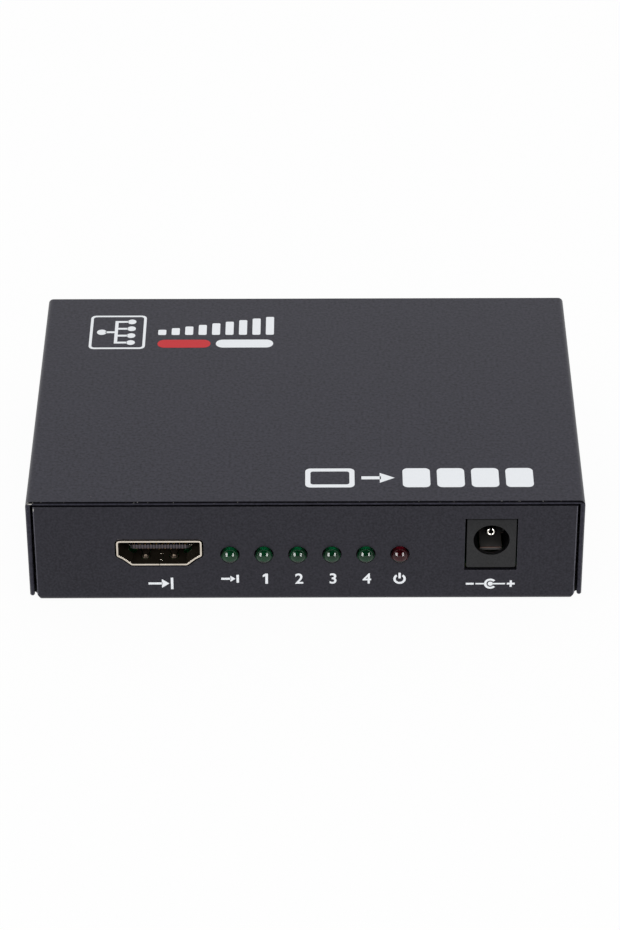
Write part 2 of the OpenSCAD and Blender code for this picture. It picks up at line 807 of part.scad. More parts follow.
// Lens of one lamp, with the flange behind and the pockets that the leads are moulded in
module lamp_lens(tint) {
    lens_end = lamp_len + lamp_flange_t;
    dome = [for (i = [0:3 * arc_steps])
        let (a = 90 - i * 30 / arc_steps)
        lamp_d / 2 * [cos(a), sin(a)]];
    flange_r = lamp_d / 2 + lamp_rim;
    color(tint)
    difference() {
        rotate([90, 0, 0])
            rotate_extrude()
                polygon(concat(dome, [[lamp_d / 2, -lamp_len], [flange_r, -lamp_len],
                    [flange_r, -lens_end], [0, -lens_end]]));
        for (side = [-1, 1])
            translate([side * lamp_lead_pitch / 2, lens_end - lamp_lead_in / 2 + over / 2, -lamp_lead_w / 2])
                block([lamp_lead_w, lamp_lead_in + over, lamp_lead_w]);
    }
}

module lamp_leads() {
    lens_end = lamp_len + lamp_flange_t;
    bend_y = lens_end + lamp_lead_run;
    color("#c2c2c4")
    at_lamps()
        for (side = [-1, 1])
            translate([side * lamp_lead_pitch / 2, 0, 0])
                along_x(lamp_lead_w, ribbon([
                    [lens_end - lamp_lead_in, 0],
                    [bend_y, 0],
                    [bend_y, -lamp_axis_h - through_len]
                ], lamp_lead_w));
}

// Levels and depths inside the power socket, from its face and the board
jack_barrel_w = jack_w - 2 * jack_step;
bore_floor_h = bore_h - bore_d / 2;
leaf_root_z = bore_floor_h - strip_t;
leaf_flat_z = bore_floor_h + leaf_rise;
leaf_flat_y = leaf_root_y - leaf_ramp;
leaf_lip_y = leaf_tip_y + strip_t / 2;
leaf_terminal_y = leaf_root_y + strip_t + root_gap;
pin_terminal_y = bore_depth + jack_wall + strip_t / 2;
leaf_path = [[leaf_root_y, leaf_root_z], [leaf_flat_y, leaf_flat_z],
    [leaf_lip_y, leaf_flat_z], [leaf_lip_y, leaf_flat_z - leaf_lip]];
ear_y = leaf_flat_y - ear_len;
ear_z = leaf_flat_z;
ear_end_x = jack_w / 2 - 3 * strip_t;
shunt_x = jack_w / 2 - strip_t;
shunt_y = ear_y;
shunt_z = ear_z + strip_t + ear_gap;

// Rear barrel of the housing in XZ, with a round top
function jack_barrel() = concat(
    [[-jack_barrel_w / 2, 0], [jack_barrel_w / 2, 0]],
    [for (i = [0:4 * arc_steps])
        [0, bore_h] + jack_barrel_w / 2 * [cos(i * 45 / arc_steps), sin(i * 45 / arc_steps)]]
);

module jack_housing() {
    color("#18181a")
    at_jack()
        difference() {
            union() {
                translate([0, jack_front_d / 2, 0])
                    block([jack_w, jack_front_d, jack_h]);
                along_y(jack_depth, jack_barrel());
            }
            translate([0, bore_depth, bore_h])
                rotate([90, 0, 0])
                    cylinder(d = bore_d, h = bore_depth + over);
            translate([0, bore_depth + jack_wall + over, bore_h])
                rotate([90, 0, 0])
                    cylinder(d = rivet_d, h = jack_wall + 2 * over);
            // Way for the leaf spring and its terminal, open to the board
            leaf_way_end = leaf_terminal_y + strip_t / 2 + leaf_gap;
            leaf_way_front = leaf_tip_y - leaf_gap;
            translate([0, (leaf_way_front + leaf_way_end) / 2, -over])
                block([leaf_w + 2 * leaf_gap, leaf_way_end - leaf_way_front, bore_h - bore_d / 4 + over]);
            // Pocket for the ear and the shunt contact, open to the right side
            translate([jack_w / 2, ear_y, -over])
                block([jack_w, ear_len + 2 * leaf_gap, shunt_z + strip_t + over]);
            // Recess for the pin's terminal, open to the rear
            recess_half = jack_depth + over - bore_depth - jack_wall;
            translate([0, jack_depth + over, -over])
                block([leaf_w + 2 * leaf_gap, 2 * recess_half, jack_h - jack_step]);
        }
}

module jack_pin() {
    rivet_head_d = (pin_d + rivet_d) / 2;
    tip_round = pin_d / 4;
    color("#d6d3cc")
    at_jack()
        translate([0, 0, bore_h])
            rotate([-90, 0, 0]) {
                translate([0, 0, pin_tip_y])
                    cylinder(d1 = pin_d - 2 * tip_round, d2 = pin_d, h = tip_round);
                translate([0, 0, pin_tip_y + tip_round])
                    cylinder(d = pin_d, h = bore_depth - pin_tip_y - tip_round);
                translate([0, 0, bore_depth])
                    cylinder(d = rivet_d, h = jack_wall + strip_t);
                translate([0, 0, bore_depth + jack_wall + strip_t])
                    cylinder(d = rivet_head_d, h = strip_t);
            }
}

module jack_pin_terminal() {
    color("#cfc9ba")
    at_jack()
        difference() {
            translate([0, pin_terminal_y, 0]) {
                block([leaf_w, strip_t, bore_h + pin_d]);
                translate([0, 0, -through_len])
                    block([terminal_leg_w, strip_t, through_len + over]);
            }
            translate([0, pin_terminal_y + over, bore_h])
                rotate([90, 0, 0])
                    cylinder(d = rivet_d, h = 2 * over);
        }
}

module jack_leaf_spring() {
    color("#d9c08a")
    at_jack() {
        along_x(leaf_w, ribbon(leaf_path, strip_t));
        translate([(leaf_w / 2 + ear_end_x) / 2 - over / 2, ear_y, ear_z - strip_t / 2])
            block([ear_end_x - leaf_w / 2 + over, ear_len, strip_t]);
    }
}

module jack_leaf_terminal() {
    color("#cfc9ba")
    at_jack()
        translate([0, leaf_terminal_y, 0]) {
            block([leaf_w, strip_t, leaf_root_z + strip_t]);
            translate([0, 0, -through_len])
                block([terminal_leg_w, strip_t, through_len + over]);
        }
}

module jack_shunt_contact() {
    color("#cfc9ba")
    at_jack()
        translate([0, shunt_y + ear_len / 2, 0])
            along_y_strip(ear_len, [[leaf_w / 2 + leaf_gap + strip_t, shunt_z], [shunt_x, shunt_z],
                [shunt_x, -through_len]]);
}

// Bent strip in XZ of the terminals' thickness, drawn out towards -Y
module along_y_strip(len, path) {
    translate([0, -len, 0])
        along_y(len, ribbon(path, strip_t));
}

// Gull-wing lead in YZ, from a chip's side at the origin outwards along Y
function gull_path(top) =
    let (shoulder = chip_lead_reach / 3, heel = chip_lead_reach / 2, foot_z = chip_lead_t / 2)
    [[0, top], [shoulder, top], [heel, foot_z], [chip_lead_reach, foot_z]];

// Row of gull-wing leads on the +Y side of a chip whose side lies at half_d
module lead_row(count, pitch, w, half_d, top) {
    for (i = [0:count - 1])
        translate([(i - (count - 1) / 2) * pitch, half_d, 0])
            along_x(w, ribbon(gull_path(top), chip_lead_t));
}

// Places on the board
module on_board(at) {
    translate([at.x, at.y, board_top])
        children();
}

module splitter_chip() {
    color("#222224")
    on_board(chip_at)
        translate([0, 0, chip_lift])
            block([chip_w, chip_w, chip_t]);
}

module splitter_chip_leads() {
    color("#bdbdc0")
    on_board(chip_at)
        for (turn = [0:90:270])
            rotate([0, 0, turn])
                lead_row(chip_leads, chip_pitch, chip_pitch / 2, chip_w / 2, chip_lift + chip_t / 2);
}

// Sizes of the small outline packages: length along X, depth along Y, height
memory_size = [4.9, 3.9, 1.45];
regulator_size = [6.5, 3.5, 1.6];

module memory_chips() {
    color("#232325")
    for (at = memory_at)
        on_board(at)
            translate([0, 0, chip_lift])
                block(memory_size);
}

module memory_chip_leads() {
    memory_pitch = 1.27;
    memory_lead_w = 0.42;
    lead_top = chip_lift + memory_size.z / 2;
    color("#bdbdc0")
    for (at = memory_at)
        on_board(at)
            for (turn = [0, 180])
                rotate([0, 0, turn])
                    lead_row(4, memory_pitch, memory_lead_w, memory_size.y / 2, lead_top);
}

module voltage_regulators() {
    color("#242426")
    for (at = regulator_at)
        on_board(at)
            translate([0, 0, chip_lift])
                block(regulator_size);
}

module regulator_leads() {
    regulator_pitch = 2.3;
    regulator_lead_w = 0.75;
    regulator_tab_w = 3;
    lead_top = chip_lift + regulator_size.z / 2;
    color("#bdbdc0")
    for (at = regulator_at)
        on_board(at) {
            lead_row(1, regulator_pitch, regulator_tab_w, regulator_size.y / 2, lead_top);
            rotate([0, 0, 180])
                lead_row(3, regulator_pitch, regulator_lead_w, regulator_size.y / 2, lead_top);
        }
}

// Outline with round ends along X
function stadium(len, w) = [for (end = [1, -1], i = [0:4 * arc_steps])
    let (a = i * 45 / arc_steps)
    end * [(len - w + w * sin(a)) / 2, -w * cos(a) / 2]];

module crystal_can() {
    color("#c9c9cb")
    on_board(crystal_at) {
        linear_extrude(crystal_h)
            polygon(stadium(crystal_len, crystal_w));
        linear_extrude(2 * crystal_rim)
            polygon(stadium(crystal_len + 2 * crystal_rim, crystal_w + 2 * crystal_rim));
    }
}

can_base_h = 1;
can_base_rim = 0.15;

module capacitor_cans() {
    groove_z = 1.1;
    groove_h = 0.4;
    groove_depth = 0.25;
    color("#c4c6c9")
    for (at = can_at)
        on_board(at)
            translate([0, 0, can_base_h]) {
                cylinder(d = can_d, h = groove_z);
                translate([0, 0, groove_z])
                    cylinder(d = can_d - 2 * groove_depth, h = groove_h);
                translate([0, 0, groove_z + groove_h])
                    cylinder(d = can_d, h = can_h - groove_z - groove_h);
            }
}

module capacitor_bases() {
    base_w = can_d + 2 * can_base_rim;
    base_cut = can_d / 5;
    color("#1d1d1f")
    for (at = can_at)
        on_board(at)
            linear_extrude(can_base_h)
                polygon([[-base_w / 2, -base_w / 2], [base_w / 2 - base_cut, -base_w / 2],
                    [base_w / 2, base_cut - base_w / 2], [base_w / 2, base_w / 2 - base_cut],
                    [base_w / 2 - base_cut, base_w / 2], [-base_w / 2, base_w / 2]]);
}

module power_inductor() {
    inductor_corner = inductor_w / 7;
    color("#2e2d2f")
    on_board(inductor_at)
        linear_extrude(inductor_h)
            polygon(rounded(rectangle(inductor_w, inductor_w), [for (i = [0:3]) inductor_corner]));
}

module polarity_diode() {
    color("#252527")
    on_board(diode_at)
        block([diode_len, diode_w, diode_h]);
}

// Rows of chip capacitors and resistors: coupling parts behind each output, and rows at the chips
capacitor_row_y = 14;
resistor_row_y = 17;
small_part_pitch = 2.4;
small_part_gap = 0.3;

// Middle of the small parts' rows behind an output, kept clear of the board screws' heads
function row_x(i) =
    let (row_half_w = 1.5 * small_part_pitch + chip_part_w / 2,
         limit = board_screw_x - screw_head_d / 2 - small_part_gap - row_half_w)
    max(-limit, min(limit, output_x[i]));

module chip_capacitors() {
    capacitor_h = 0.8;
    color("#b39a72")
    for (i = [0:3], k = [-1, 0, 1])
        on_board([row_x(i) + k * small_part_pitch, capacitor_row_y])
            block([chip_part_w, chip_part_len, capacitor_h]);
    color("#b39a72")
    for (at = regulator_at, side = [-1, 1])
        on_board([at.x + side * (regulator_size.x / 2 + small_part_pitch), at.y])
            block([chip_part_w, chip_part_len, capacitor_h]);
}

module chip_resistors() {
    resistor_h = 0.45;
    color("#202022")
    for (i = [0:3], k = [-1.5:1:1.5])
        on_board([row_x(i) + k * small_part_pitch, resistor_row_y])
            block([chip_part_w, chip_part_len, resistor_h]);
    color("#202022")
    for (i = [0:5])
        on_board([lamp_x[i], lamp_y + lamp_len + lamp_flange_t + lamp_lead_run + 2 * chip_part_len])
            block([chip_part_w, chip_part_len, resistor_h]);
}

base_tray();
top_cover();
cover_screws();
board_standoffs();
board_screws();
circuit_board();
for (s = sockets) {
    at_socket(s) video_shell();
    at_socket(s) video_insulator();
    at_socket(s) video_contacts();
    at_socket(s) video_lower_springs();
    at_socket(s) video_upper_springs();
}
for (i = [0:len(lamps) - 1]) {
    translate([lamp_x[i], lamp_y, lamp_z]) lamp_lens(lamps[i] == "lamp_power" ? "#6d1620" : "#135c35");
}
lamp_leads();
jack_housing();
jack_pin();
jack_pin_terminal();
jack_leaf_spring();
jack_leaf_terminal();
jack_shunt_contact();
splitter_chip();
splitter_chip_leads();
memory_chips();
memory_chip_leads();
voltage_regulators();
regulator_leads();
crystal_can();
capacitor_cans();
capacitor_bases();
power_inductor();
polarity_diode();
chip_capacitors();
chip_resistors();
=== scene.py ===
"""Looks of a small video splitter in a black folded-metal case.

The input socket, six lamps and the power socket are in front, four output sockets behind.
Sizes in this file are in millimetres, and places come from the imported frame.
"""

import json
import logging
import math
import random
from dataclasses import dataclass, field
from enum import Enum
from typing import Callable, Iterable, Sequence

import bmesh
import bpy
from mathutils import Matrix, Vector

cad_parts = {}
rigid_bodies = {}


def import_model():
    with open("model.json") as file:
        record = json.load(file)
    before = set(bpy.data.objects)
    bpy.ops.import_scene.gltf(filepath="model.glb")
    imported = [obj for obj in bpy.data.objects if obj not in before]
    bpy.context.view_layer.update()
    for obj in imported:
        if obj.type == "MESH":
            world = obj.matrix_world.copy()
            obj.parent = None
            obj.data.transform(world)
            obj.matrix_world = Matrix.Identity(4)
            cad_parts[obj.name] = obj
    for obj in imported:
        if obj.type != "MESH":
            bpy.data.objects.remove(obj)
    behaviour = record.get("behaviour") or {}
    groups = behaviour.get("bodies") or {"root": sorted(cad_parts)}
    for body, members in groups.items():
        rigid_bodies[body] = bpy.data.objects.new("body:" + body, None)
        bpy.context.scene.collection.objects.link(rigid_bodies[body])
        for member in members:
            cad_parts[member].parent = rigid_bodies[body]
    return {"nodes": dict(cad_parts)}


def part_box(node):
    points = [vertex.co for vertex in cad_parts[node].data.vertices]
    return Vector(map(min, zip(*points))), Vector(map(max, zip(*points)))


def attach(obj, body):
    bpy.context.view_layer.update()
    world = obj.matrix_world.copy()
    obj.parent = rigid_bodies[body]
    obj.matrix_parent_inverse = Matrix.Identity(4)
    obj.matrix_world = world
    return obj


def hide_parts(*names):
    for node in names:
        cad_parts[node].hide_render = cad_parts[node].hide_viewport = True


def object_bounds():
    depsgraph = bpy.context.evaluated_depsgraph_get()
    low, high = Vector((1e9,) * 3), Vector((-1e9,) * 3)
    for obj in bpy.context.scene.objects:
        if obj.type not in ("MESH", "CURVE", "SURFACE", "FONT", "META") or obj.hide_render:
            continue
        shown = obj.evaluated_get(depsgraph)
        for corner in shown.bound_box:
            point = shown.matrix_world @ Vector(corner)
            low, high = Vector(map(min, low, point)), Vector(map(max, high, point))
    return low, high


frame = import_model()
CAD_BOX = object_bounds()

log = logging.getLogger("splitter")
MM = 0.001
NOISE_SPAN = (0.3, 0.7)
INK_DEPTH = 0.02
WELD = 0.0008
FLAT_ANGLE = 0.5
SHEET_ANGLE = 42.0
TURNED_ANGLE = 50.0
NORMAL_WEIGHT = 70
LAMPS = ("lamp_input", "lamp_output_1", "lamp_output_2", "lamp_output_3", "lamp_output_4", "lamp_power")
OUTPUTS = ("output_1", "output_2", "output_3", "output_4")
Point = tuple[float, float]
Outline = list[Point]
Colour = tuple[float, float, float]
Piece = bpy.types.Object
Mesh = bpy.types.Mesh
BMesh = bmesh.types.BMesh
Socket = bpy.types.NodeSocket
Feed = Socket | bpy.types.ID | Sequence[float] | float | str
Inputs = dict[str | int, Feed]


def linear(*channels: float) -> Colour:
    """Linear colour of an sRGB colour given from 0 to 255."""
    shares = [value / 255 for value in channels]
    return tuple(s / 12.92 if s <= 0.04045 else ((s + 0.055) / 1.055) ** 2.4 for s in shares)


def scaled(colour: Colour, share: float) -> Colour:
    """Colour made lighter or darker by a factor."""
    return tuple(min(1.0, value * share) for value in colour)


def box(node: str) -> tuple[Vector, Vector]:
    """Lowest and highest corner of a node in millimetres."""
    low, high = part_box(node)
    return low / MM, high / MM


def middle(node: str) -> Vector:
    """Middle of a node's box in millimetres."""
    low, high = box(node)
    return (low + high) / 2


class Body(Enum):
    """Bodies of the frame that pieces ride on, apart from the sockets' fingers."""

    TRAY = "tray"
    COVER = "cover"
    LEAF = "jack_leaf"


class Side(Enum):
    """Faces that carry print, by the directions to the right and up on them."""

    TOP = (Vector((1, 0, 0)), Vector((0, 1, 0)))
    FRONT = (Vector((1, 0, 0)), Vector((0, 0, 1)))
    REAR = (Vector((-1, 0, 0)), Vector((0, 0, 1)))


class Nodes:
    """Builder of one node tree."""

    def __init__(self, tree: bpy.types.NodeTree) -> None:
        """Take a tree to build in."""
        self.tree = tree

    def add(self, kind: str, inputs: Inputs | None = None, **settings: object) -> bpy.types.Node:
        """New node with its properties and inputs set.

        Args:
            kind: node type.
            inputs: what feeds its inputs, by name or number.
            settings: node properties by name.

        Returns:
            The node.
        """
        node = self.tree.nodes.new(kind)
        for key, value in settings.items():
            setattr(node, key, value)
        for key, value in (inputs or {}).items():
            self.put(node.inputs[key], value)
        return node

    def put(self, target: Socket, value: Feed) -> None:
        """Link a socket to an input, or set the input's value.

        Args:
            target: input to feed.
            value: socket, number, colour or data block.
        """
        if isinstance(value, bpy.types.NodeSocket):
            self.tree.links.new(value, target)
        elif target.type == "RGBA":
            target.default_value = (*value, 1.0)
        else:
            target.default_value = value

    def calc(self, kind: str, first: Socket | float, second: Socket | float) -> Socket:
        """Two numbers put together by a Math operation."""
        return self.add("ShaderNodeMath", {0: first, 1: second}, operation=kind).outputs["Value"]

    def mix(self, share: Socket, first: Socket | Colour, second: Socket | Colour) -> Socket:
        """Colour between two colours."""
        return self.add("ShaderNodeMix", {"Factor": share, 6: first, 7: second}, data_type="RGBA").outputs[2]

    def blend(self, output: str, share: Socket, first: bpy.types.Node, second: bpy.types.Node) -> None:
        """End a tree in a mix of two shaders.

        Args:
            output: type of the output node.
            share: share of the second shader.
            first: shader node.
            second: shader node.
        """
        mixed = self.add("ShaderNodeMixShader", {"Fac": share, 1: first.outputs[0], 2: second.outputs[0]})
        self.add(output, {"Surface": mixed.outputs[0]})


class Shader(Nodes):
    """Builder of one material's nodes, with patterns on Object coordinates."""

    def __init__(self, name: str) -> None:
        """Start a finish.

        Args:
            name: name of the material.
        """
        self.material = bpy.data.materials.new(name)
        self.material.use_nodes = True
        super().__init__(self.material.node_tree)
        self.bsdf = self.tree.nodes["Principled BSDF"]
        self.place = self.add("ShaderNodeTexCoord").outputs["Object"]

    def set(self, **inputs: Feed) -> None:
        """Set inputs of the surface shader, with underscores for spaces in their names."""
        for key, value in inputs.items():
            self.put(self.bsdf.inputs[key.replace("_", " ")], value)

    def along(self, axis: str) -> Socket:
        """Object coordinate along one axis."""
        return self.add("ShaderNodeSeparateXYZ", {0: self.place}).outputs[axis]

    def stretched(self, stretch: Sequence[float]) -> Socket:
        """Object coordinates scaled along each axis."""
        inputs = {"Vector": self.place, "Scale": tuple(stretch)}
        return self.add("ShaderNodeMapping", inputs).outputs["Vector"]

    def noise(self, size: float, detail: float = 2.0, stretch: Sequence[float] | None = None) -> Socket:
        """Cloudy pattern.

        Args:
            size: width of a cloud in millimetres.
            detail: octaves of finer clouds.
            stretch: scale along each axis, for streaks.

        Returns:
            Value from 0 to 1.
        """
        place = self.stretched(stretch) if stretch else self.place
        inputs = {"Vector": place, "Scale": 1 / (size * MM), "Detail": detail}
        return self.add("ShaderNodeTexNoise", inputs).outputs["Fac"]

    def cells(self, size: float, metric: str = "EUCLIDEAN") -> Socket:
        """Distance from the middles of scattered cells of a given width in millimetres."""
        inputs = {"Vector": self.place, "Scale": 1 / (size * MM)}
        return self.add("ShaderNodeTexVoronoi", inputs, feature="F1", distance=metric).outputs["Distance"]

    def level(
        self, value: Socket, low: float, high: float, to_low: float = 0.0, to_high: float = 1.0,
    ) -> Socket:
        """Value stretched from one range to another and held inside it."""
        inputs = {"Value": value, "From Min": low, "From Max": high, "To Min": to_low, "To Max": to_high}
        return self.add("ShaderNodeMapRange", inputs, clamp=True).outputs["Result"]

    def swing(self, pattern: Socket, low: float = 0.0, high: float = 1.0) -> Socket:
        """Cloudy pattern stretched over a range."""
        return self.level(pattern, *NOISE_SPAN, low, high)

    def ramp(self, axis: str, base: float, span: Point) -> Socket:
        """Value that rises from 0 to 1 between two places on an axis, in millimetres from a base."""
        return self.level(self.along(axis), *((base + step) * MM for step in span))

    def near(self, centre: Sequence[float], radius: float, long: float, ragged: float) -> Socket:
        """Mask of a ragged spot.

        Args:
            centre: middle of the spot in millimetres.
            radius: its radius in millimetres.
            long: how many times longer the spot is along X.
            ragged: size of the raggedness in millimetres.

        Returns:
            1 inside the spot and 0 outside.
        """
        x, y, z = centre
        inputs = {0: self.stretched((1 / long, 1, 1)), 1: (x / long * MM, y * MM, z * MM)}
        away = self.add("ShaderNodeVectorMath", inputs, operation="DISTANCE").outputs["Value"]
        edge = self.swing(self.noise(ragged, 3), 0.55 * radius * MM, 1.25 * radius * MM)
        return self.calc("LESS_THAN", away, edge)

    def bump(self, height: Socket, depth: float, strength: float) -> None:
        """Relief of the surface.

        Args:
            height: pattern from 0 to 1.
            depth: depth of the relief in millimetres.
            strength: share of the relief that shows.
        """
        inputs = {"Strength": strength, "Distance": depth * MM, "Height": height}
        self.set(Normal=self.add("ShaderNodeBump", inputs).outputs["Normal"])


@dataclass(frozen=True)
class Finish:
    """A finish that becomes one material, made once."""

    name: str
    colour: Colour

    def material(self) -> bpy.types.Material:
        """Material of the finish, built on first use.

        Returns:
            The material.
        """
        found = bpy.data.materials.get(self.name)
        if found is None:
            shader = Shader(self.name)
            self.paint(shader)
            found = shader.material
        return found

    def tint(self, shader: Shader, share: Socket, low: float, high: float) -> Socket:
        """Colour that runs from a darker to a lighter tone of the finish."""
        return shader.mix(share, scaled(self.colour, low), scaled(self.colour, high))

    def paint(self, shader: Shader) -> None:
        """Set the shader's inputs."""
        raise NotImplementedError


@dataclass(frozen=True)
class PowderCoat(Finish):
    """Fine black powder coat with worn edges, dust and chipped spots of bare steel."""

    chips: tuple[tuple[float, float, float, float, float], ...] = ()
    wear: float = 0.0
    grain: float = 0.4
    sheen: float = 0.345
    mottle: float = 0.12
    sheen_tint: Colour = (0.865, 0.86, 1.0)
    dust: Colour = linear(84, 84, 88)
    steel: Colour = linear(205, 203, 198)

    def paint(self, shader: Shader) -> None:
        """Grain, faint clouds, dust specks and bare spots.

        Args:
            shader: nodes of the material.
        """
        low, high = self.sheen * (1 - self.mottle), self.sheen * (1 + self.mottle)
        grain = shader.noise(self.grain, 2.5)
        coat = self.tint(shader, shader.level(grain, 0.32, 0.68), 0.6, 1.45)
        coat = shader.mix(shader.swing(shader.noise(11, 3), 0.0, 0.25), coat, scaled(self.colour, 1.5))
        coat = shader.mix(shader.calc("LESS_THAN", shader.cells(20), 0.0036), coat, self.dust)
        bare = shader.level(shader.noise(0.5, 3), 0.8 - self.wear, 0.86 - self.wear)
        for *centre, radius, long in self.chips:
            bare = shader.calc("MAXIMUM", bare, shader.near(centre, radius, long, 0.3))
        shader.set(
            Base_Color=shader.mix(bare, coat, self.steel),
            Metallic=bare,
            Roughness=shader.swing(grain, 0.3, 0.4),
            Specular_IOR_Level=shader.swing(grain, low, high),
            Specular_Tint=self.sheen_tint,
        )
        shader.bump(grain, 0.03, 0.2)


@dataclass(frozen=True)
class PlatedMetal(Finish):
    """Rolled or drawn metal with a plated skin: streaks along one axis and faint tarnish."""

    roughness: float
    streak: tuple[float, float, float]
    tarnish: Colour
    metal: float = 1.0

    def paint(self, shader: Shader) -> None:
        """Streaks in the gloss, darker clouds in the colour.

        Args:
            shader: nodes of the material.
        """
        streaks = shader.noise(0.22, 3, self.streak)
        stain = shader.level(shader.noise(2.4, 4), 0.48, 0.75, 0.0, 0.3)
        shader.set(
            Base_Color=shader.mix(stain, self.colour, self.tarnish),
            Metallic=self.metal,
            Roughness=shader.level(streaks, 0.25, 0.75, self.roughness * 0.75, self.roughness * 1.3),
        )
        shader.bump(streaks, 0.004, 0.4)


@dataclass(frozen=True)
class MouldedPlastic(Finish):
    """Moulded or cast plastic with the fine spark texture of its mould."""

    roughness: float = 0.5
    spark: float = 0.18
    relief: float = 0.012
    gloss: float = 0.35
    lip: float | None = None
    lip_shades: tuple[Point, ...] = ((4.0, 0.76), (0.3, 0.2))

    def paint(self, shader: Shader) -> None:
        """Spark texture in relief, colour and gloss, and shade under a lip at a given height.

        Args:
            shader: nodes of the material.
        """
        spark = shader.noise(self.spark, 2)
        gloss = shader.swing(spark, self.gloss * 0.8, self.gloss * 1.2)
        # painted shade: the gloss is dimmed below the lip, a soft fall and a dark line at its edge
        if self.lip is not None:
            for soft, share in self.lip_shades:
                shade = shader.level(shader.along("Z"), (self.lip - soft) * MM, self.lip * MM, 1.0, share)
                gloss = shader.calc("MULTIPLY", gloss, shade)
        shader.set(
            Base_Color=self.tint(shader, shader.swing(shader.noise(3.5, 3)), 0.8, 1.3),
            Roughness=shader.swing(spark, self.roughness * 0.85, self.roughness * 1.15),
            Specular_IOR_Level=gloss,
        )
        shader.bump(spark, self.relief, 0.6)


@dataclass(frozen=True)
class LampResin(Finish):
    """Tinted clear casting resin of a lamp's lens."""

    gloss: float = 0.2
    axis: float = middle(LAMPS[0]).z
    panel: float = box("base_tray")[0].y
    # places of the painted glow below the axis and along the upper rim, and of the painted shade at the
    # sides, foot and underside
    pale: Point = (0.3, -0.9)
    rim: Point = (1.38, 1.56)
    side: Point = (0.9, 1.3)
    foot: Point = (-0.56, -0.38)
    underside: Point = (-0.4, -0.66)

    def paint(self, shader: Shader) -> None:
        """Deep tint with faint flow clouds, painted glow along the upper rim and below, and painted shade at
        the foot and underside.

        Args:
            shader: nodes of the material.
        """
        body = self.tint(shader, shader.level(shader.noise(4.0, 2), 0.35, 0.65), 0.75, 1.3)
        # painted light: lighter below the axis, for light from the floor inside the lens
        body = shader.mix(shader.ramp("Z", self.axis, self.pale), body, scaled(self.colour, 1.8))
        # painted glow: a bright arc along the upper rim
        body = shader.mix(shader.ramp("Z", self.axis, self.rim), body, scaled(self.colour, 2.6))
        # painted shade: dark at the sides of the foot and along the underside, with no gloss there
        side = shader.calc("SUBTRACT", 1.0, shader.ramp("Z", self.axis, self.side))
        foot = shader.calc("MULTIPLY", shader.ramp("Y", self.panel, self.foot), side)
        dark = shader.calc("MAXIMUM", shader.ramp("Z", self.axis, self.underside), foot)
        shader.set(
            Base_Color=shader.mix(dark, body, scaled(self.colour, 0.1)),
            Roughness=0.08,
            IOR=1.5,
            Transmission_Weight=0.5,
            Specular_IOR_Level=shader.level(dark, 0.0, 1.0, self.gloss, 0.0),
        )
        shader.bump(shader.noise(1.4, 1), 0.004, 0.2)


@dataclass(frozen=True)
class SolderMask(Finish):
    """Glossy solder mask over a glass-cloth board."""

    def paint(self, shader: Shader) -> None:
        """Weave under the mask, and copper areas that show lighter through it.

        Args:
            shader: nodes of the material.
        """
        weave = shader.calc("MULTIPLY", shader.noise(0.5, 1, (1, 8, 1)), shader.noise(0.5, 1, (8, 1, 1)))
        pour = shader.level(shader.cells(7.0, "CHEBYCHEV"), 0.4, 0.44)
        threads = shader.level(weave, 0.15, 0.4, 0.0, 0.35)
        shader.set(
            Base_Color=shader.mix(threads, self.tint(shader, pour, 1.25, 0.85), scaled(self.colour, 1.6)),
            Roughness=shader.level(weave, 0.1, 0.45, 0.22, 0.34),
            Coat_Weight=0.3,
        )
        shader.bump(shader.calc("ADD", shader.calc("MULTIPLY", pour, -0.6), weave), 0.012, 0.5)


@dataclass(frozen=True)
class PrintInk(Finish):
    """Screen-printed ink, slightly uneven where the mesh left it."""

    def paint(self, shader: Shader) -> None:
        """Mesh mottle in colour and relief.

        Args:
            shader: nodes of the material.
        """
        mottle = shader.noise(0.16, 3)
        shader.set(
            Base_Color=self.tint(shader, shader.swing(mottle), 0.93, 1.0),
            Roughness=shader.swing(mottle, 0.42, 0.55),
            Specular_IOR_Level=0.3,
        )
        shader.bump(mottle, 0.006, 0.5)


PAINT = linear(25.5, 24.5, 30)
COVER_CHIPS = ((-48.1, -33.55, 21.0, 0.21, 4.0), (-47.2, -33.55, 21.2, 0.13, 3.0))
PANEL_CHIPS = ((-47.15, -33.3, 19.5, 0.3, 1.0),)
CASE_PAINT = PowderCoat("finish_case_coat", PAINT)
# painted tint: the cover takes the same coat as the case, made bluer for the way light falls on the top
COVER_PAINT = PowderCoat("finish_cover_coat", linear(25.5, 24.5, 35), COVER_CHIPS, grain=0.52, mottle=0.24)
# painted shade: the cover's top chamfer is coloured far darker than the coat to draw a dark line, with real
# chips and worn spots on it
COVER_EDGE = PowderCoat("finish_cover_edge", scaled(PAINT, 0.4), COVER_CHIPS, wear=0.13, sheen=0.12)
# painted highlight: the tray's broken edges, also round the cut-outs, are much lighter than the coat to show
# a light line, with real worn spots
CASE_EDGE = PowderCoat("finish_worn_edge", linear(56, 55, 60), wear=0.09, sheen=0.6)
# painted highlight: a light line along the panels' rolled upright edges, with one real chip at a corner
PANEL_EDGE = PowderCoat("finish_rubbed_edge", linear(66, 65, 72), PANEL_CHIPS, sheen=0.8)
SCREW_BLACK = PlatedMetal("finish_screw_oxide", linear(52, 52, 55), 0.42, (1, 6, 1), linear(30, 30, 31))
NICKEL = PlatedMetal("finish_socket_nickel", linear(208, 199, 186), 0.3, (1, 6, 1), linear(150, 138, 120))
STANDOFF = PlatedMetal("finish_standoff_nickel", linear(205, 200, 186), 0.3, (6, 6, 1), linear(150, 140, 120))
ZINC = PlatedMetal("finish_screw_zinc", linear(196, 198, 204), 0.34, (4, 4, 4), linear(140, 142, 150))
TIN = PlatedMetal("finish_tin", linear(200, 201, 204), 0.36, (3, 3, 3), linear(150, 150, 152))
GOLD = PlatedMetal("finish_contact_gold", linear(222, 180, 92), 0.3, (1, 8, 1), linear(170, 120, 60))
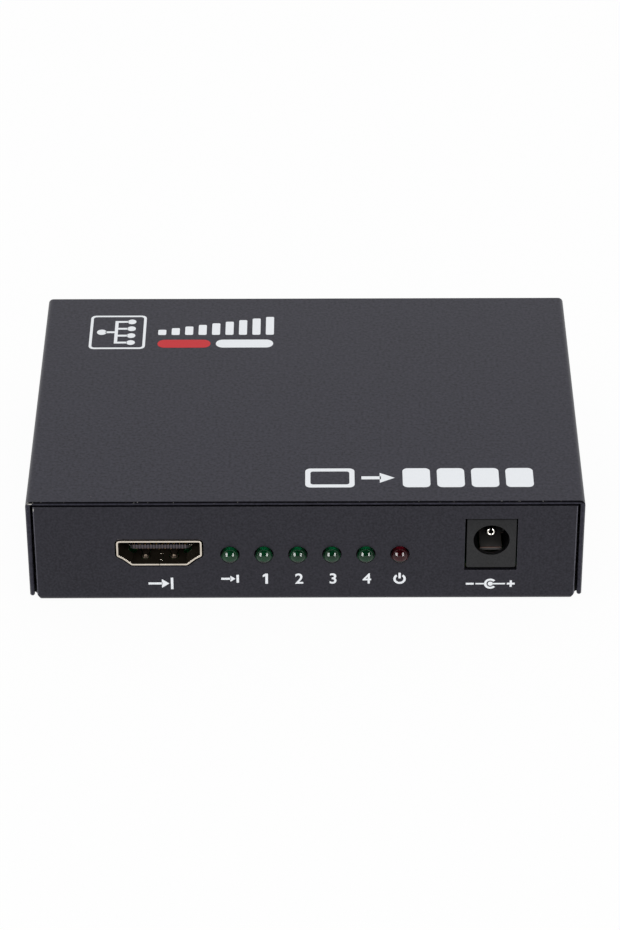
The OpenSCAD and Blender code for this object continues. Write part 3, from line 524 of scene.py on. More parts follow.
# painted shade: the nickel darkened on the faces inside the socket shell
SHELL_INSIDE = PlatedMetal("finish_socket_inside", linear(64, 57, 48), 0.5, (1, 6, 1), linear(44, 38, 31))
# painted shade: the spring fingers are darkened for the shade deep inside the socket
SPRING = PlatedMetal("finish_spring_steel", linear(72, 64, 56), 0.5, (1, 6, 1), linear(48, 41, 35))
LEAF = PlatedMetal("finish_leaf_plate", linear(132, 130, 128), 0.46, (8, 1, 8), linear(84, 79, 74), 0.78)
COPPER = PlatedMetal("finish_leaf_cut", linear(196, 122, 84), 0.3, (8, 1, 8), linear(120, 66, 44))
# painted shade: the contacts' tips are a dark grey for gold in the shade inside the socket
TIP = PlatedMetal("finish_contact_tip", linear(88, 82, 86), 0.4, (1, 1, 4), linear(60, 54, 58))
PIN_NICKEL = PlatedMetal("finish_pin_nickel", linear(226, 223, 216), 0.16, (1, 1, 1), linear(180, 174, 160))
# painted shade: the pin's nickel darkened on the walls of its hollow and slit
PIN_INSIDE = PlatedMetal("finish_pin_inside", linear(34, 32, 30), 0.55, (1, 1, 1), linear(24, 22, 20))
CAN = PlatedMetal("finish_can_aluminium", linear(206, 208, 211), 0.34, (1, 1, 8), linear(168, 170, 174))
CRYSTAL = PlatedMetal("finish_crystal_can", linear(172, 172, 174), 0.32, (1, 8, 8), linear(128, 128, 130))
SOCKET_BLACK = MouldedPlastic("finish_socket_plastic", linear(26, 26, 28), 0.45)
JACK_BLACK = MouldedPlastic("finish_jack_plastic", linear(13, 13, 16), 0.42, 0.22, 0.016, 0.41, lip=17.2)
BOARD_CORE = MouldedPlastic("finish_board_core", linear(40, 44, 26), 0.7, 0.3, 0.02, 0.2)
EPOXY = MouldedPlastic("finish_chip_epoxy", linear(38, 38, 40), 0.6, 0.12, 0.014)
FERRITE = MouldedPlastic("finish_ferrite", linear(50, 49, 52), 0.7, 0.3, 0.03)
CERAMIC = MouldedPlastic("finish_ceramic", linear(174, 148, 108), 0.4, 0.1, 0.004)
FILM = MouldedPlastic("finish_resistor_glaze", linear(24, 24, 27), 0.25, 0.1, 0.003)
GREEN_RESIN = LampResin("finish_lamp_green", linear(4, 64, 34))
RED_RESIN = LampResin("finish_lamp_red", linear(62, 4, 13), 0.15)
MASK = SolderMask("finish_board_mask", linear(17, 74, 40))
TRACE = SolderMask("finish_board_trace", linear(34, 118, 66))
WHITE_INK = PrintInk("finish_ink_white", linear(246, 249, 253))
RED_INK = PrintInk("finish_ink_red", linear(204, 38, 46))
BLACK_INK = PrintInk("finish_ink_black", linear(26, 26, 28))


def settle(piece: Piece, slot: str, *nodes: str, body: str = Body.TRAY.value) -> None:
    """Tie a finished piece to the frame and report it.

    Args:
        piece: object at the origin with its place in its mesh.
        slot: material slot of the record; not used.
        nodes: nodes that it replaces.
        body: body that it rides on.
    """
    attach(piece, body)
    if nodes:
        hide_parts(*nodes)
    log.info("%s rides on %s with %d faces", piece.name, body, len(piece.data.polygons))


def new_piece(name: str, mesh: Mesh, *finishes: Finish) -> Piece:
    """New object at the origin.

    Args:
        name: its name.
        mesh: mesh that it shows.
        finishes: finish of each material index.

    Returns:
        The object.
    """
    piece = bpy.data.objects.new(name, mesh)
    bpy.context.scene.collection.objects.link(piece)
    for finish in finishes:
        mesh.materials.append(finish.material())
    return piece


def baked(piece: Piece) -> Piece:
    """Turn a piece's modifiers into plain mesh and remove them.

    Args:
        piece: object to change.

    Returns:
        The same object.
    """
    graph = bpy.context.evaluated_depsgraph_get()
    mesh = bpy.data.meshes.new_from_object(piece.evaluated_get(graph), depsgraph=graph)
    piece.modifiers.clear()
    piece.data = mesh
    mesh.name = piece.name
    return piece


def mesh_of(bm: BMesh, name: str) -> Mesh:
    """New mesh with what a bmesh holds.

    Args:
        bm: bmesh, freed afterwards.
        name: name of the mesh.

    Returns:
        The mesh.
    """
    mesh = bpy.data.meshes.new(name)
    bm.to_mesh(mesh)
    bm.free()
    return mesh


def drawn(
    name: str, verts: Sequence[Vector], edges: Sequence[tuple] = (), faces: Sequence[tuple] = (),
) -> Mesh:
    """Mesh from lists.

    Args:
        name: its name.
        verts: points in metres.
        edges: edges by the numbers of their points.
        faces: faces by the numbers of their points.

    Returns:
        The mesh.
    """
    mesh = bpy.data.meshes.new(name)
    mesh.from_pydata(verts, edges, faces)
    return mesh


def smooth_by_angle(mesh: Mesh, degrees: float) -> None:
    """Smooth shading that breaks at sharp edges.

    Args:
        mesh: mesh to change.
        degrees: angle above which an edge is sharp.
    """
    bm = bmesh.new()
    bm.from_mesh(mesh)
    for face in bm.faces:
        face.smooth = True
    for edge in bm.edges:
        edge.smooth = not (edge.is_manifold and edge.calc_face_angle(0.0) > math.radians(degrees))
    bm.to_mesh(mesh)
    bm.free()


def merged(node: str) -> BMesh:
    """Copy of a node's mesh with its loose triangles joined into faces.

    Args:
        node: node to copy.

    Returns:
        The copy.
    """
    bm = bmesh.new()
    bm.from_mesh(frame["nodes"][node].data)
    bmesh.ops.remove_doubles(bm, verts=bm.verts, dist=WELD * MM)
    bmesh.ops.dissolve_limit(bm, angle_limit=math.radians(FLAT_ANGLE), verts=bm.verts, edges=bm.edges)
    return bm


def block(bm: BMesh, size: Vector, centre: Vector) -> list[bmesh.types.BMVert]:
    """Add a block, with its size and the place of its middle in millimetres.

    Args:
        bm: mesh to add to.
        size: width, depth and height.
        centre: place of its middle.

    Returns:
        The block's corners.
    """
    corners = bmesh.ops.create_cube(bm, size=1.0)["verts"]
    for vert in corners:
        vert.co = (vert.co * size + centre) * MM
    return corners


def break_edges(bm: BMesh, edges: Iterable, width: float, slot: int, steps: int = 3) -> None:
    """Round edges off, or chamfer them.

    Args:
        bm: mesh to change.
        edges: edges to round.
        width: width of the rounding in millimetres.
        slot: material index of the new faces.
        steps: faces across a rounding, 1 for a chamfer.
    """
    bmesh.ops.bevel(
        bm, geom=list(edges), offset=width * MM, segments=steps, profile=0.5, affect="EDGES",
        clamp_overlap=steps > 1, material=slot,
    )


def dressed(
    node: str, name: str, edge: float, *finishes: Finish, sharp: float = 32.0, steps: int = 3,
    sunk: float = 0.0, roll: float = 0.0, rolled: Callable[[Vector], bool] | None = None,
) -> Piece:
    """Copy of a node with its sharp edges broken.

    Args:
        node: node to copy.
        name: name of the new piece.
        edge: width of the broken edges in millimetres, 0 for none.
        finishes: finish of the faces, then of the broken edges and of the rolled ones if they have their own.
        sharp: angle in degrees from which an edge is broken.
        steps: faces across a broken edge, 1 for a chamfer.
        sunk: how far the top is lowered, in millimetres.
        roll: radius in millimetres of the edges that are rolled first.
        rolled: test on an edge's ends and middle, in millimetres, that picks these edges.

    Returns:
        The new piece.
    """
    bm = merged(node)
    if rolled:
        picked = []
        for line in bm.edges:
            one, two = (vert.co / MM for vert in line.verts)
            if all(rolled(point) for point in (one, (one + two) / 2, two)):
                picked.append(line)
        break_edges(bm, picked, roll, len(finishes) - 1)
    if edge > 0:
        limit = math.radians(sharp)
        corners = [line for line in bm.edges if line.is_manifold and line.calc_face_angle(0.0) > limit]
        break_edges(bm, corners, edge, min(1, len(finishes) - 1), steps)
    top = max(vert.co.z for vert in bm.verts) - sunk * MM
    for vert in bm.verts:
        vert.co.z = min(vert.co.z, top)
    mesh = mesh_of(bm, name)
    smooth_by_angle(mesh, SHEET_ANGLE)
    piece = new_piece(name, mesh, *finishes)
    even = piece.modifiers.new("even", "WEIGHTED_NORMAL")
    even.keep_sharp = True
    even.weight = NORMAL_WEIGHT
    return baked(piece)


def islands(node: str) -> list[tuple[Vector, Vector]]:
    """Find the separate solids in a node.

    Args:
        node: node to look through.

    Returns:
        Lowest and highest corner of each solid in millimetres, from left to right.
    """
    bm = merged(node)
    left = set(bm.verts)
    found = []
    while left:
        group = [left.pop()]
        for vert in group:
            for other in (edge.other_vert(vert) for edge in vert.link_edges):
                if other in left:
                    left.remove(other)
                    group.append(other)
        low = Vector([min(vert.co[i] for vert in group) / MM for i in range(3)])
        high = Vector([max(vert.co[i] for vert in group) / MM for i in range(3)])
        found.append((low, high))
    bm.free()
    return sorted(found, key=lambda pair: tuple(round(c, 3) for c in pair[0]))


def feet(node: str) -> list[Vector]:
    """Find the faces that a node stands on.

    Args:
        node: node to look through.

    Returns:
        Middle of each face at its lowest level in millimetres, from left to right.
    """
    bm = merged(node)
    low = min(vert.co.z for vert in bm.verts)
    found = [
        face.calc_center_median() / MM for face in bm.faces
        if face.normal.z < -0.9 and max(vert.co.z for vert in face.verts) < low + 0.01 * MM
    ]
    bm.free()
    return sorted(found, key=lambda p: (round(p.x, 3), round(p.y, 3)))


def skin(bm: BMesh, rings: Sequence[list[bmesh.types.BMVert]]) -> None:
    """Join each ring of points to the next by faces.

    Args:
        bm: mesh to add to.
        rings: rings of as many points, or of one point at a tip.
    """
    steps = max(len(ring) for ring in rings)
    for one, two in zip(rings, rings[1:]):
        for i in range(steps):
            j = (i + 1) % steps
            corners = [one[i % len(one)], one[j % len(one)], two[j % len(two)], two[i % len(two)]]
            bm.faces.new(list(dict.fromkeys(corners)))
    bmesh.ops.recalc_face_normals(bm, faces=bm.faces)


def lathe(name: str, profile: Sequence[Point], centre: Vector, steps: int) -> Mesh:
    """Mesh turned about the Y direction.

    Args:
        name: name of the mesh.
        profile: radius and depth of each point in millimetres, from axis to axis.
        centre: point on the axis at depth 0, in millimetres.
        steps: faces around the axis.

    Returns:
        Closed mesh.
    """
    bm = bmesh.new()
    rings = []
    for radius, depth in profile:
        spokes = arc((0.0, 0.0), radius, 0, 360, steps)[:steps if radius else 1]
        rings.append([bm.verts.new((centre + Vector((x, depth, z))) * MM) for x, z in spokes])
    skin(bm, rings)
    mesh = mesh_of(bm, name)
    smooth_by_angle(mesh, TURNED_ANGLE)
    return mesh


class GeometryTree(Nodes):
    """Geometry Nodes tree with named inputs, built in the script."""

    def __init__(self, name: str, inputs: dict[str, float]) -> None:
        """Start a tree.

        Args:
            name: name of the tree.
            inputs: named number inputs and their values.
        """
        super().__init__(bpy.data.node_groups.new(name, "GeometryNodeTree"))
        face = self.tree.interface
        face.new_socket("Geometry", in_out="INPUT", socket_type="NodeSocketGeometry")
        self.values = {
            face.new_socket(key, in_out="INPUT", socket_type="NodeSocketFloat").identifier: value
            for key, value in inputs.items()
        }
        face.new_socket("Geometry", in_out="OUTPUT", socket_type="NodeSocketGeometry")
        self.given = self.add("NodeGroupInput").outputs

    def applied(
        self, piece: Piece, shape: Socket, *finishes: tuple[Finish, str | None],
    ) -> Piece:
        """End the tree, run it on a piece and keep the result as its mesh.

        Args:
            piece: object whose mesh the tree starts from.
            shape: geometry to realize and paint.
            finishes: each finish, with the name of the face attribute that selects it or None for all faces.

        Returns:
            The piece.
        """
        last = self.add("GeometryNodeRealizeInstances", {"Geometry": shape}).outputs["Geometry"]
        for finish, mask in finishes:
            inputs = {"Geometry": last, "Material": finish.material()}
            if mask:
                named = self.add("GeometryNodeInputNamedAttribute", {"Name": mask}, data_type="BOOLEAN")
                inputs["Selection"] = named.outputs["Attribute"]
            last = self.add("GeometryNodeSetMaterial", inputs).outputs["Geometry"]
        self.add("NodeGroupOutput", {"Geometry": last})
        modifier = piece.modifiers.new("make", "NODES")
        modifier.node_group = self.tree
        for identifier, value in self.values.items():
            modifier[identifier] = value
        return baked(piece)


def scattered(
    name: str, points: Sequence[Vector], shape: Mesh, *finishes: tuple[Finish, str | None],
    spread: float = 0.0,
) -> Piece:
    """One small shape set on every point by Geometry Nodes.

    Args:
        name: name of the piece.
        points: places in millimetres.
        shape: mesh to repeat, around the origin.
        finishes: finishes and their face attributes.
        spread: share by which the size varies, from a fixed seed.

    Returns:
        The piece as plain mesh.
    """
    pattern = new_piece(name + "_shape", shape)
    tree = GeometryTree(name + "_nodes", {"Size": 1.0, "Spread": spread, "Seed": 7.0})
    size = tree.given["Size"]
    cloud = tree.add("GeometryNodeMeshToPoints", {"Mesh": tree.given["Geometry"]})
    info = tree.add("GeometryNodeObjectInfo", {"Object": pattern})
    least = tree.calc("SUBTRACT", size, tree.given["Spread"])
    limits = {2: least, 3: size, "Seed": tree.given["Seed"]}
    chance = tree.add("FunctionNodeRandomValue", limits, data_type="FLOAT")
    copies = tree.add("GeometryNodeInstanceOnPoints", {
        "Points": cloud.outputs["Points"], "Instance": info.outputs["Geometry"], "Scale": chance.outputs[1],
    })
    start = new_piece(name, drawn(name, [tuple(point * MM) for point in points]))
    piece = tree.applied(start, copies.outputs["Instances"], *finishes)
    bpy.data.objects.remove(pattern)
    return piece


def ribbons(
    name: str, paths: Sequence[Sequence[Vector]], width: float, height: float, finish: Finish,
) -> Piece:
    """Flat strips along paths, made by Geometry Nodes.

    Args:
        name: name of the piece.
        paths: points of each path in millimetres.
        width: width of a strip in millimetres.
        height: thickness of a strip in millimetres.
        finish: finish of the strips.

    Returns:
        The piece as plain mesh.
    """
    verts, edges = [], []
    for path in paths:
        edges += [(len(verts) + i, len(verts) + i + 1) for i in range(len(path) - 1)]
        verts += [tuple(point * MM) for point in path]
    tree = GeometryTree(name + "_nodes", {"Width": width * MM, "Height": height * MM})
    line = tree.add("GeometryNodeMeshToCurve", {"Mesh": tree.given["Geometry"]})
    upright = tree.add("GeometryNodeSetCurveNormal", {"Curve": line.outputs["Curve"]}, mode="Z_UP")
    sizes = {key: tree.given[key] for key in ("Width", "Height")}
    section = tree.add("GeometryNodeCurvePrimitiveQuadrilateral", sizes, mode="RECTANGLE")
    strip = tree.add("GeometryNodeCurveToMesh", {
        "Curve": upright.outputs["Curve"], "Profile Curve": section.outputs["Curve"], "Fill Caps": True,
    })
    return tree.applied(new_piece(name, drawn(name, verts, edges)), strip.outputs["Mesh"], (finish, None))


def arc(centre: Point, radius: float, start: float, sweep: float, steps: int) -> Outline:
    """Points along an arc, from a start angle over a sweep in degrees."""
    turns = [math.radians(start + sweep * i / steps) for i in range(steps + 1)]
    return [(centre[0] + radius * math.cos(a), centre[1] + radius * math.sin(a)) for a in turns]


def disc(x: float, y: float, radius: float, steps: int = 24) -> Outline:
    """Round outline."""
    return arc((x, y), radius, 0, 360, steps)[:-1]


def bar(x0: float, y0: float, x1: float, y1: float, radius: float = 0.0) -> Outline:
    """Rectangle between two corners.

    Args:
        x0: left side.
        y0: lower side.
        x1: right side.
        y1: upper side.
        radius: radius of its corners, 0 for square ones.

    Returns:
        The outline.
    """
    if radius <= 0:
        return [(x0, y0), (x1, y0), (x1, y1), (x0, y1)]
    left, low, right, high = x0 + radius, y0 + radius, x1 - radius, y1 - radius
    corners = ((right, low), -90), ((right, high), 0), ((left, high), 90), ((left, low), 180)
    return [point for centre, start in corners for point in arc(centre, radius, start, 90, 6)]


def band(outer: Sequence[Point], inner: Sequence[Point]) -> list[Outline]:
    """Quads between two lines that have as many points."""
    return [[a, b, d, c] for a, b, c, d in zip(outer, outer[1:], inner, inner[1:])]


def framed(
    x0: float, y0: float, x1: float, y1: float, line: float, outer: float = 0.0, inner: float = 0.0,
) -> list[Outline]:
    """Frame of a given line width between two corners.

    Args:
        x0: left side.
        y0: lower side.
        x1: right side.
        y1: upper side.
        line: width of the line.
        outer: radius of its outer corners.
        inner: radius of its inner corners.

    Returns:
        The frame's quads.
    """
    one, two = bar(x0, y0, x1, y1, outer), bar(x0 + line, y0 + line, x1 - line, y1 - line, inner)
    return band(one + one[:1], two + two[:1])


def open_ring(x: float, y: float, radius: float, line: float, start: float, end: float) -> list[Outline]:
    """Part of a ring between two angles in degrees, as quads."""
    return band(*(arc((x, y), r, start, end - start, 20) for r in (radius, radius - line)))


@dataclass
class InkSheet:
    """Print on one face: flat shapes a few hundredths of a millimetre thick."""

    name: str
    side: Side
    level: Vector
    slot: str = "case_paint"
    thickness: float = INK_DEPTH
    cap_share: float = 0.72
    bold: float = 0.022
    shapes: dict[Finish, list[Outline]] = field(default_factory=dict)
    texts: list[tuple[str, Point, float]] = field(default_factory=list)

    def add(self, *outlines: Outline, ink: Finish = WHITE_INK) -> None:
        """Add closed outlines, each a simple polygon in millimetres."""
        self.shapes.setdefault(ink, []).extend(outlines)

    def number(self, value: int, place: Point, height: float) -> None:
        """Add a plain number; a one is drawn with a flag.

        Args:
            value: number to print.
            place: its middle.
            height: its height.
        """
        if value != 1:
            self.texts.append((str(value), place, height))
            return
        x, y, h = place[0] + 0.1 * height, place[1], height / 2
        stem, flag, joint = 0.21 * h, x - 0.62 * h, x - 0.2 * h
        self.add(bar(x - stem, y - h, x + stem, y + h))
        self.add([(flag, y + 0.3 * h), (joint, y + 0.5 * h), (joint, y + h), (flag, y + 0.7 * h)])

    def matrix(self) -> Matrix:
        """Find the sheet's place.

        Returns:
            Matrix with X and Y along the face and Z out of it.
        """
        right, up = self.side.value
        turn = Matrix((right, up, right.cross(up))).transposed().to_4x4()
        return Matrix.Translation(self.level * MM) @ turn

    def plate(self, bm: BMesh, outline: Outline, slot: int) -> None:
        """Add a thin plate.

        Args:
            bm: mesh to add to.
            outline: its outline, turned to run anticlockwise.
            slot: its material index.
        """
        if sum(a[0] * b[1] - b[0] * a[1] for a, b in zip(outline, outline[1:] + outline[:1])) <= 0:
            outline = outline[::-1]
        levels = (0, self.thickness)
        low, high = ([bm.verts.new((x * MM, y * MM, z * MM)) for x, y in outline] for z in levels)
        faces = [bm.faces.new(high), bm.faces.new(low[::-1])]
        for i in range(len(outline)):
            j = (i + 1) % len(outline)
            faces.append(bm.faces.new((low[i], low[j], high[j], high[i])))
        for face in faces:
            face.material_index = slot

    def lettering(self, value: str, place: Point, height: float) -> Mesh:
        """Mesh of a number in its place on the sheet.

        Args:
            value: its figures.
            place: its middle.
            height: its height.

        Returns:
            The mesh.
        """
        curve = bpy.data.curves.new(self.name + "_number", "FONT")
        curve.body = value
        curve.size = height * MM / self.cap_share
        curve.offset = height * MM * self.bold
        curve.resolution_u = 6
        curve.extrude = self.thickness * MM / 2
        holder = new_piece(self.name + "_number", curve)
        graph = bpy.context.evaluated_depsgraph_get()
        mesh = bpy.data.meshes.new_from_object(holder.evaluated_get(graph))
        bpy.data.objects.remove(holder)
        corners = [vert.co for vert in mesh.vertices]
        mid = [(min(c[i] for c in corners) + max(c[i] for c in corners)) / 2 for i in range(2)]
        shift = (place[0] * MM - mid[0], place[1] * MM - mid[1], self.thickness * MM / 2)
        mesh.transform(Matrix.Translation(shift))
        return mesh

    def build(self, body: str = Body.TRAY.value) -> None:
        """Make the print as one piece.

        Args:
            body: body that carries the printed face.
        """
        bm = bmesh.new()
        inks = list(self.shapes) or [WHITE_INK]
        for slot, ink in enumerate(inks):
            for outline in self.shapes.get(ink, []):
                self.plate(bm, outline, slot)
        for text in self.texts:
            mesh = self.lettering(*text)
            bm.from_mesh(mesh)
            bpy.data.meshes.remove(mesh)
        bmesh.ops.remove_doubles(bm, verts=bm.verts, dist=1e-8)
        bm.transform(self.matrix())
        settle(new_piece(self.name, mesh_of(bm, self.name), *inks), self.slot, body=body)


@dataclass
class CaseShell:
    """Folded tray and cover with the four cover screws."""

    edge: float = 0.25
    tray_edge: float = 0.15
    roll: float = 0.45
    screw_edge: float = 0.1
    sharp: float = 60.0
    bend_top: float = 1.2
    worn_depth: float = 0.4

    def build(self) -> None:
        """Dress the sheet metal and the screws."""
        low, high = box("base_tray")

        def panel_side(point: Vector) -> bool:
            """Whether a point lies on an upright outer edge of a panel."""
            ends = not low.y + 0.01 < point.y < high.y - 0.01
            return ends and abs(point.x) > high.x - 0.01 and point.z > self.bend_top

        # the rolled upright panel edges take the painted highlight finish, the other broken edges the lighter
        # worn one
        tray = dressed(
            "base_tray", "tray_sheet", self.tray_edge, CASE_PAINT, CASE_EDGE, PANEL_EDGE,
            sharp=self.sharp, rolled=panel_side, roll=self.roll,
        )
        settle(tray, "case_paint", "base_tray")
        cover = dressed(
            "top_cover", "cover_sheet", self.edge, COVER_PAINT, COVER_EDGE,
            sharp=self.sharp, sunk=INK_DEPTH, steps=1,
        )
        # only the chamfer near the top keeps the painted dark edge; the cover's lower broken edges take the
        # plain coat
        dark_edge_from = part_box("top_cover")[1].z - self.worn_depth * MM
        for face in cover.data.polygons:
            if face.center.z < dark_edge_from:
                face.material_index = 0
        settle(cover, "case_paint", "top_cover", body=Body.COVER.value)
        screws = dressed("cover_screws", "cover_fixings", self.screw_edge, SCREW_BLACK)
        settle(screws, "screw_black", "cover_screws")


@dataclass
class CasePrint:
    """Print on the case: marks for the sockets and lamps, and a plain diagram on the top."""

    mark: float = 2.2
    line: float = 0.42
    lamp_row: float = 4.68
    socket_row: float = 3.7
    supply_row: float = 3.46
    badge: Point = (-34.9, 21.6)
    badge_half: Point = (5.2, 5.8)
    badge_line: float = 0.6
    bars_left: float = -27.4
    bar_pitch: float = 2.5
    bar_width: float = 1.5
    strip_rows: Point = (16.2, 18.9)
    box_rows: Point = (-29.2, -23.4)

    def build(self) -> None:
        """Print the three faces."""
        self.print_top()
        self.print_front()
        self.print_rear()

    def print_top(self) -> None:
        """Diagram of one line that splits into four, with red and white bars."""
        sheet = InkSheet("print_top", Side.TOP, Vector((0, 0, box("top_cover")[1].z - INK_DEPTH)))
        self.split_badge(sheet)
        self.signal_bars(sheet)
        self.block_diagram(sheet)
        sheet.build(Body.COVER.value)

    def split_badge(self, sheet: InkSheet) -> None:
        """Frame that holds one line splitting into four.

        Args:
            sheet: print to add to.
        """
        (x, y), (w, h), half = self.badge, self.badge_half, self.badge_line / 2
        sheet.add(*framed(x - w, y - h, x + w, y + h, 0.5, 1.0, 0.6))
        sheet.add(disc(x - 3.0, y, 0.9), bar(x - 2.3, y - half, x - 0.6, y + half))
        sheet.add(bar(x - self.badge_line, y - 3.9, x, y + 3.9))
        for step in (-3.6, -1.2, 1.2, 3.6):
            sheet.add(bar(x, y + step - half, x + 1.8, y + step + half), disc(x + 2.5, y + step, 0.8))

    def signal_bars(self, sheet: InkSheet) -> None:
        """Row of white bars of rising height, over a red and a white strip.

        Args:
            sheet: print to add to.
        """
        for i in range(9):
            x = self.bars_left + i * self.bar_pitch
            sheet.add(bar(x, 20.6, x + self.bar_width, 22.4 + i * 0.55, 0.3))
        low, high = self.strip_rows
        sheet.add(bar(self.bars_left, low, -17.6, high, 1.3), ink=RED_INK)
        sheet.add(bar(-16.6, low, -6.0, high, 1.3))

    def block_diagram(self, sheet: InkSheet) -> None:
        """One box, an arrow and four boxes along the front of the top.

        Args:
            sheet: print to add to.
        """
        low, high = self.box_rows
        mid = (low + high) / 2
        sheet.add(*framed(0, low, 8.6, high, 0.9, 0.9, 0.5))
        sheet.add(bar(9.8, mid - 0.45, 13.2, mid + 0.45), [(13.0, mid - 1.5), (15.6, mid), (13.0, mid + 1.5)])
        for i in range(4):
            x = 17.0 + i * 6.0
            sheet.add(bar(x, low, x + 4.8, high, 0.9))

    def print_front(self) -> None:
        """Marks under the input, the lamps and the power socket."""
        sheet = InkSheet("print_front", Side.FRONT, Vector((0, box("base_tray")[0].y, 0)))
        self.inward_mark(sheet, middle("input_shell").x + 0.3, self.socket_row, 1.25)
        self.inward_mark(sheet, middle("lamp_input").x, self.lamp_row, 0.85)
        for i, name in enumerate(OUTPUTS, 1):
            sheet.number(i, (middle("lamp_" + name).x + 0.2, self.lamp_row), self.mark)
        self.power_mark(sheet, middle("lamp_power").x, self.lamp_row, self.mark / 2)
        self.supply_mark(sheet, middle("jack_housing").x, self.supply_row)
        sheet.build()

    def print_rear(self) -> None:
        """Plain numbers under the output sockets."""
        sheet = InkSheet("print_rear", Side.REAR, Vector((0, box("base_tray")[1].y, 0)))
        for i, name in enumerate(OUTPUTS, 1):
            sheet.number(i, (-middle(name + "_shell").x, self.socket_row), self.mark)
        sheet.build()

    def inward_mark(self, sheet: InkSheet, x: float, y: float, half: float) -> None:
        """Arrow that runs into an upright bar.

        Args:
            sheet: print to add to.
            x: middle of the mark.
            y: middle of the mark.
            half: half its height.
        """
        tail, head, stop = x - half * 1.9, half * 0.75, x + half * 1.25
        sheet.add(bar(tail, y - 0.22, x + 0.1, y + 0.22))
        sheet.add([(x, y - head), (x + half * 1.05, y), (x, y + head)])
        sheet.add(bar(stop, y - half, stop + 0.44, y + half))

    def power_mark(self, sheet: InkSheet, x: float, y: float, radius: float) -> None:
        """Open ring with an upright stroke."""
        sheet.add(*open_ring(x, y - 0.1, radius, self.line, 125, 415))
        sheet.add(bar(x - self.line / 2, y, x + self.line / 2, y + radius + 0.1))

    def supply_mark(self, sheet: InkSheet, x: float, y: float) -> None:
        """Plug drawing: minus, ring with a dot, plus.

        Args:
            sheet: print to add to.
            x: middle of the mark.
            y: middle of the mark.
        """
        sheet.add(*open_ring(x, y, 1.1, self.line, 40, 320), disc(x, y, 0.45, 16))
        sheet.add(bar(x + 0.4, y - 0.15, x + 2.6, y + 0.15), bar(x - 2.6, y - 0.15, x - 1.05, y + 0.15))
        sheet.add(bar(x + 2.9, y - 0.2, x + 4.3, y + 0.2), bar(x + 3.4, y - 0.7, x + 3.8, y - 0.2))
        sheet.add(bar(x + 3.4, y + 0.2, x + 3.8, y + 0.7), bar(x - 4.3, y - 0.2, x - 2.9, y + 0.2))


@dataclass
class VideoSocket:
    """One video socket: folded shell, insulator, contacts and two pairs of spring fingers."""

    name: str
    shell_edge: float = 0.07
    core_edge: float = 0.04
    finger_edge: float = 0.03
    tip_w: float = 0.3
    tip_t: float = 0.03
    tip_below: float = 0.05
    tip_short: float = 0.08

    def build(self) -> None:
        """Dress the five pieces and add the contacts' tips."""
        name = self.name
        shell = dressed(f"{name}_shell", f"{name}_can", self.shell_edge, NICKEL)
        self.dull_inside(shell)
        settle(shell, "socket_metal", f"{name}_shell")
        core = dressed(f"{name}_insulator", f"{name}_core", self.core_edge, SOCKET_BLACK)
        settle(core, "socket_plastic", f"{name}_insulator")
        settle(dressed(f"{name}_contacts", f"{name}_pins", 0.0, GOLD), "contact_gold", f"{name}_contacts")
        for row in (f"{name}_lower", f"{name}_upper"):
            fingers = dressed(f"{row}_springs", f"{row}_strips", self.finger_edge, SPRING, sharp=70)
            settle(fingers, "socket_metal", f"{row}_springs", body=f"{row}_fingers")
        self.set_tips()

    def dull_inside(self, shell: Piece) -> None:
        """Give the faces that look into the shell a duller plating, painted dark as the shade inside the
        shell.

        Args:
            shell: dressed shell.
        """
        shell.data.materials.append(SHELL_INSIDE.material())
        low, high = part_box(f"{self.name}_lower_springs")[0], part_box(f"{self.name}_upper_springs")[1]
        for face in shell.data.polygons:
            out = face.center - (low + high) / 2
            out.y = 0.0
            if abs(face.normal.y) < 0.5 and face.normal.dot(out) < 0:
                face.material_index = 1

    def set_tips(self) -> None:
        """Tips of the contacts, bent over the front of the tongue."""
        rows = islands(f"{self.name}_contacts")
        low, high = box(f"{self.name}_insulator")
        front = low.y - self.tip_t if abs(low.y) > abs(high.y) else high.y
        foot = min(top.z for _, top in rows) - self.tip_below
        size = Vector((self.tip_w, self.tip_t, max(top.z for _, top in rows) - self.tip_short - foot))
        bm = bmesh.new()
        block(bm, size, Vector((0, size.y / 2, size.z / 2)))
        break_edges(bm, bm.edges, 0.25 * self.tip_t, 0, 1)
        places = [Vector(((a.x + b.x) / 2, front, foot)) for a, b in rows]
        shape = mesh_of(bm, f"{self.name}_tip_shape")
        settle(scattered(f"{self.name}_tips", places, shape, (TIP, None)), "contact_gold")


@dataclass
class IndicatorLamp:
    """One lamp: tinted lens with the lead frame that shows inside it."""

    node: str
    radius: float = 1.6
    flange: float = 0.8
    dome_rings: int = 14
    lens_steps: int = 48
    cup_steps: int = 24
    cup: tuple[Point, ...] = (
        (0.0, 2.75), (0.28, 2.75), (0.55, 2.4), (0.68, 2.4), (0.62, 3.6), (0.3, 3.9), (0.3, 5.4), (0.0, 5.4),
    )

    def build(self) -> None:
        """Make the lens, and the cup and post inside it."""
        resin, slot = (RED_RESIN, "lamp_red") if self.node == "lamp_power" else (GREEN_RESIN, "lamp_green")
        low, high = box(self.node)
        centre = Vector(((low.x + high.x) / 2, low.y, (low.z + high.z) / 2))
        length, wide, dome = high.y - low.y, (high.x - low.x) / 2, box("base_tray")[0].y - low.y
        turns = [math.radians(90 * i / self.dome_rings) for i in range(self.dome_rings + 1)]
        profile = [(self.radius * math.sin(a), dome * (1 - math.cos(a))) for a in turns]
        rear = length - self.flange
        profile += [(self.radius, rear), (wide, rear), (wide, length), (0.0, length)]
        for name, outline, steps, finish, use, nodes in (
            ("_lens", profile, self.lens_steps, resin, slot, [self.node]),
            ("_cup", self.cup, self.cup_steps, TIN, "tinned_lead", []),
        ):
            mesh = lathe(self.node + name, outline, centre, steps)
            settle(new_piece(self.node + name, mesh, finish), use, *nodes)


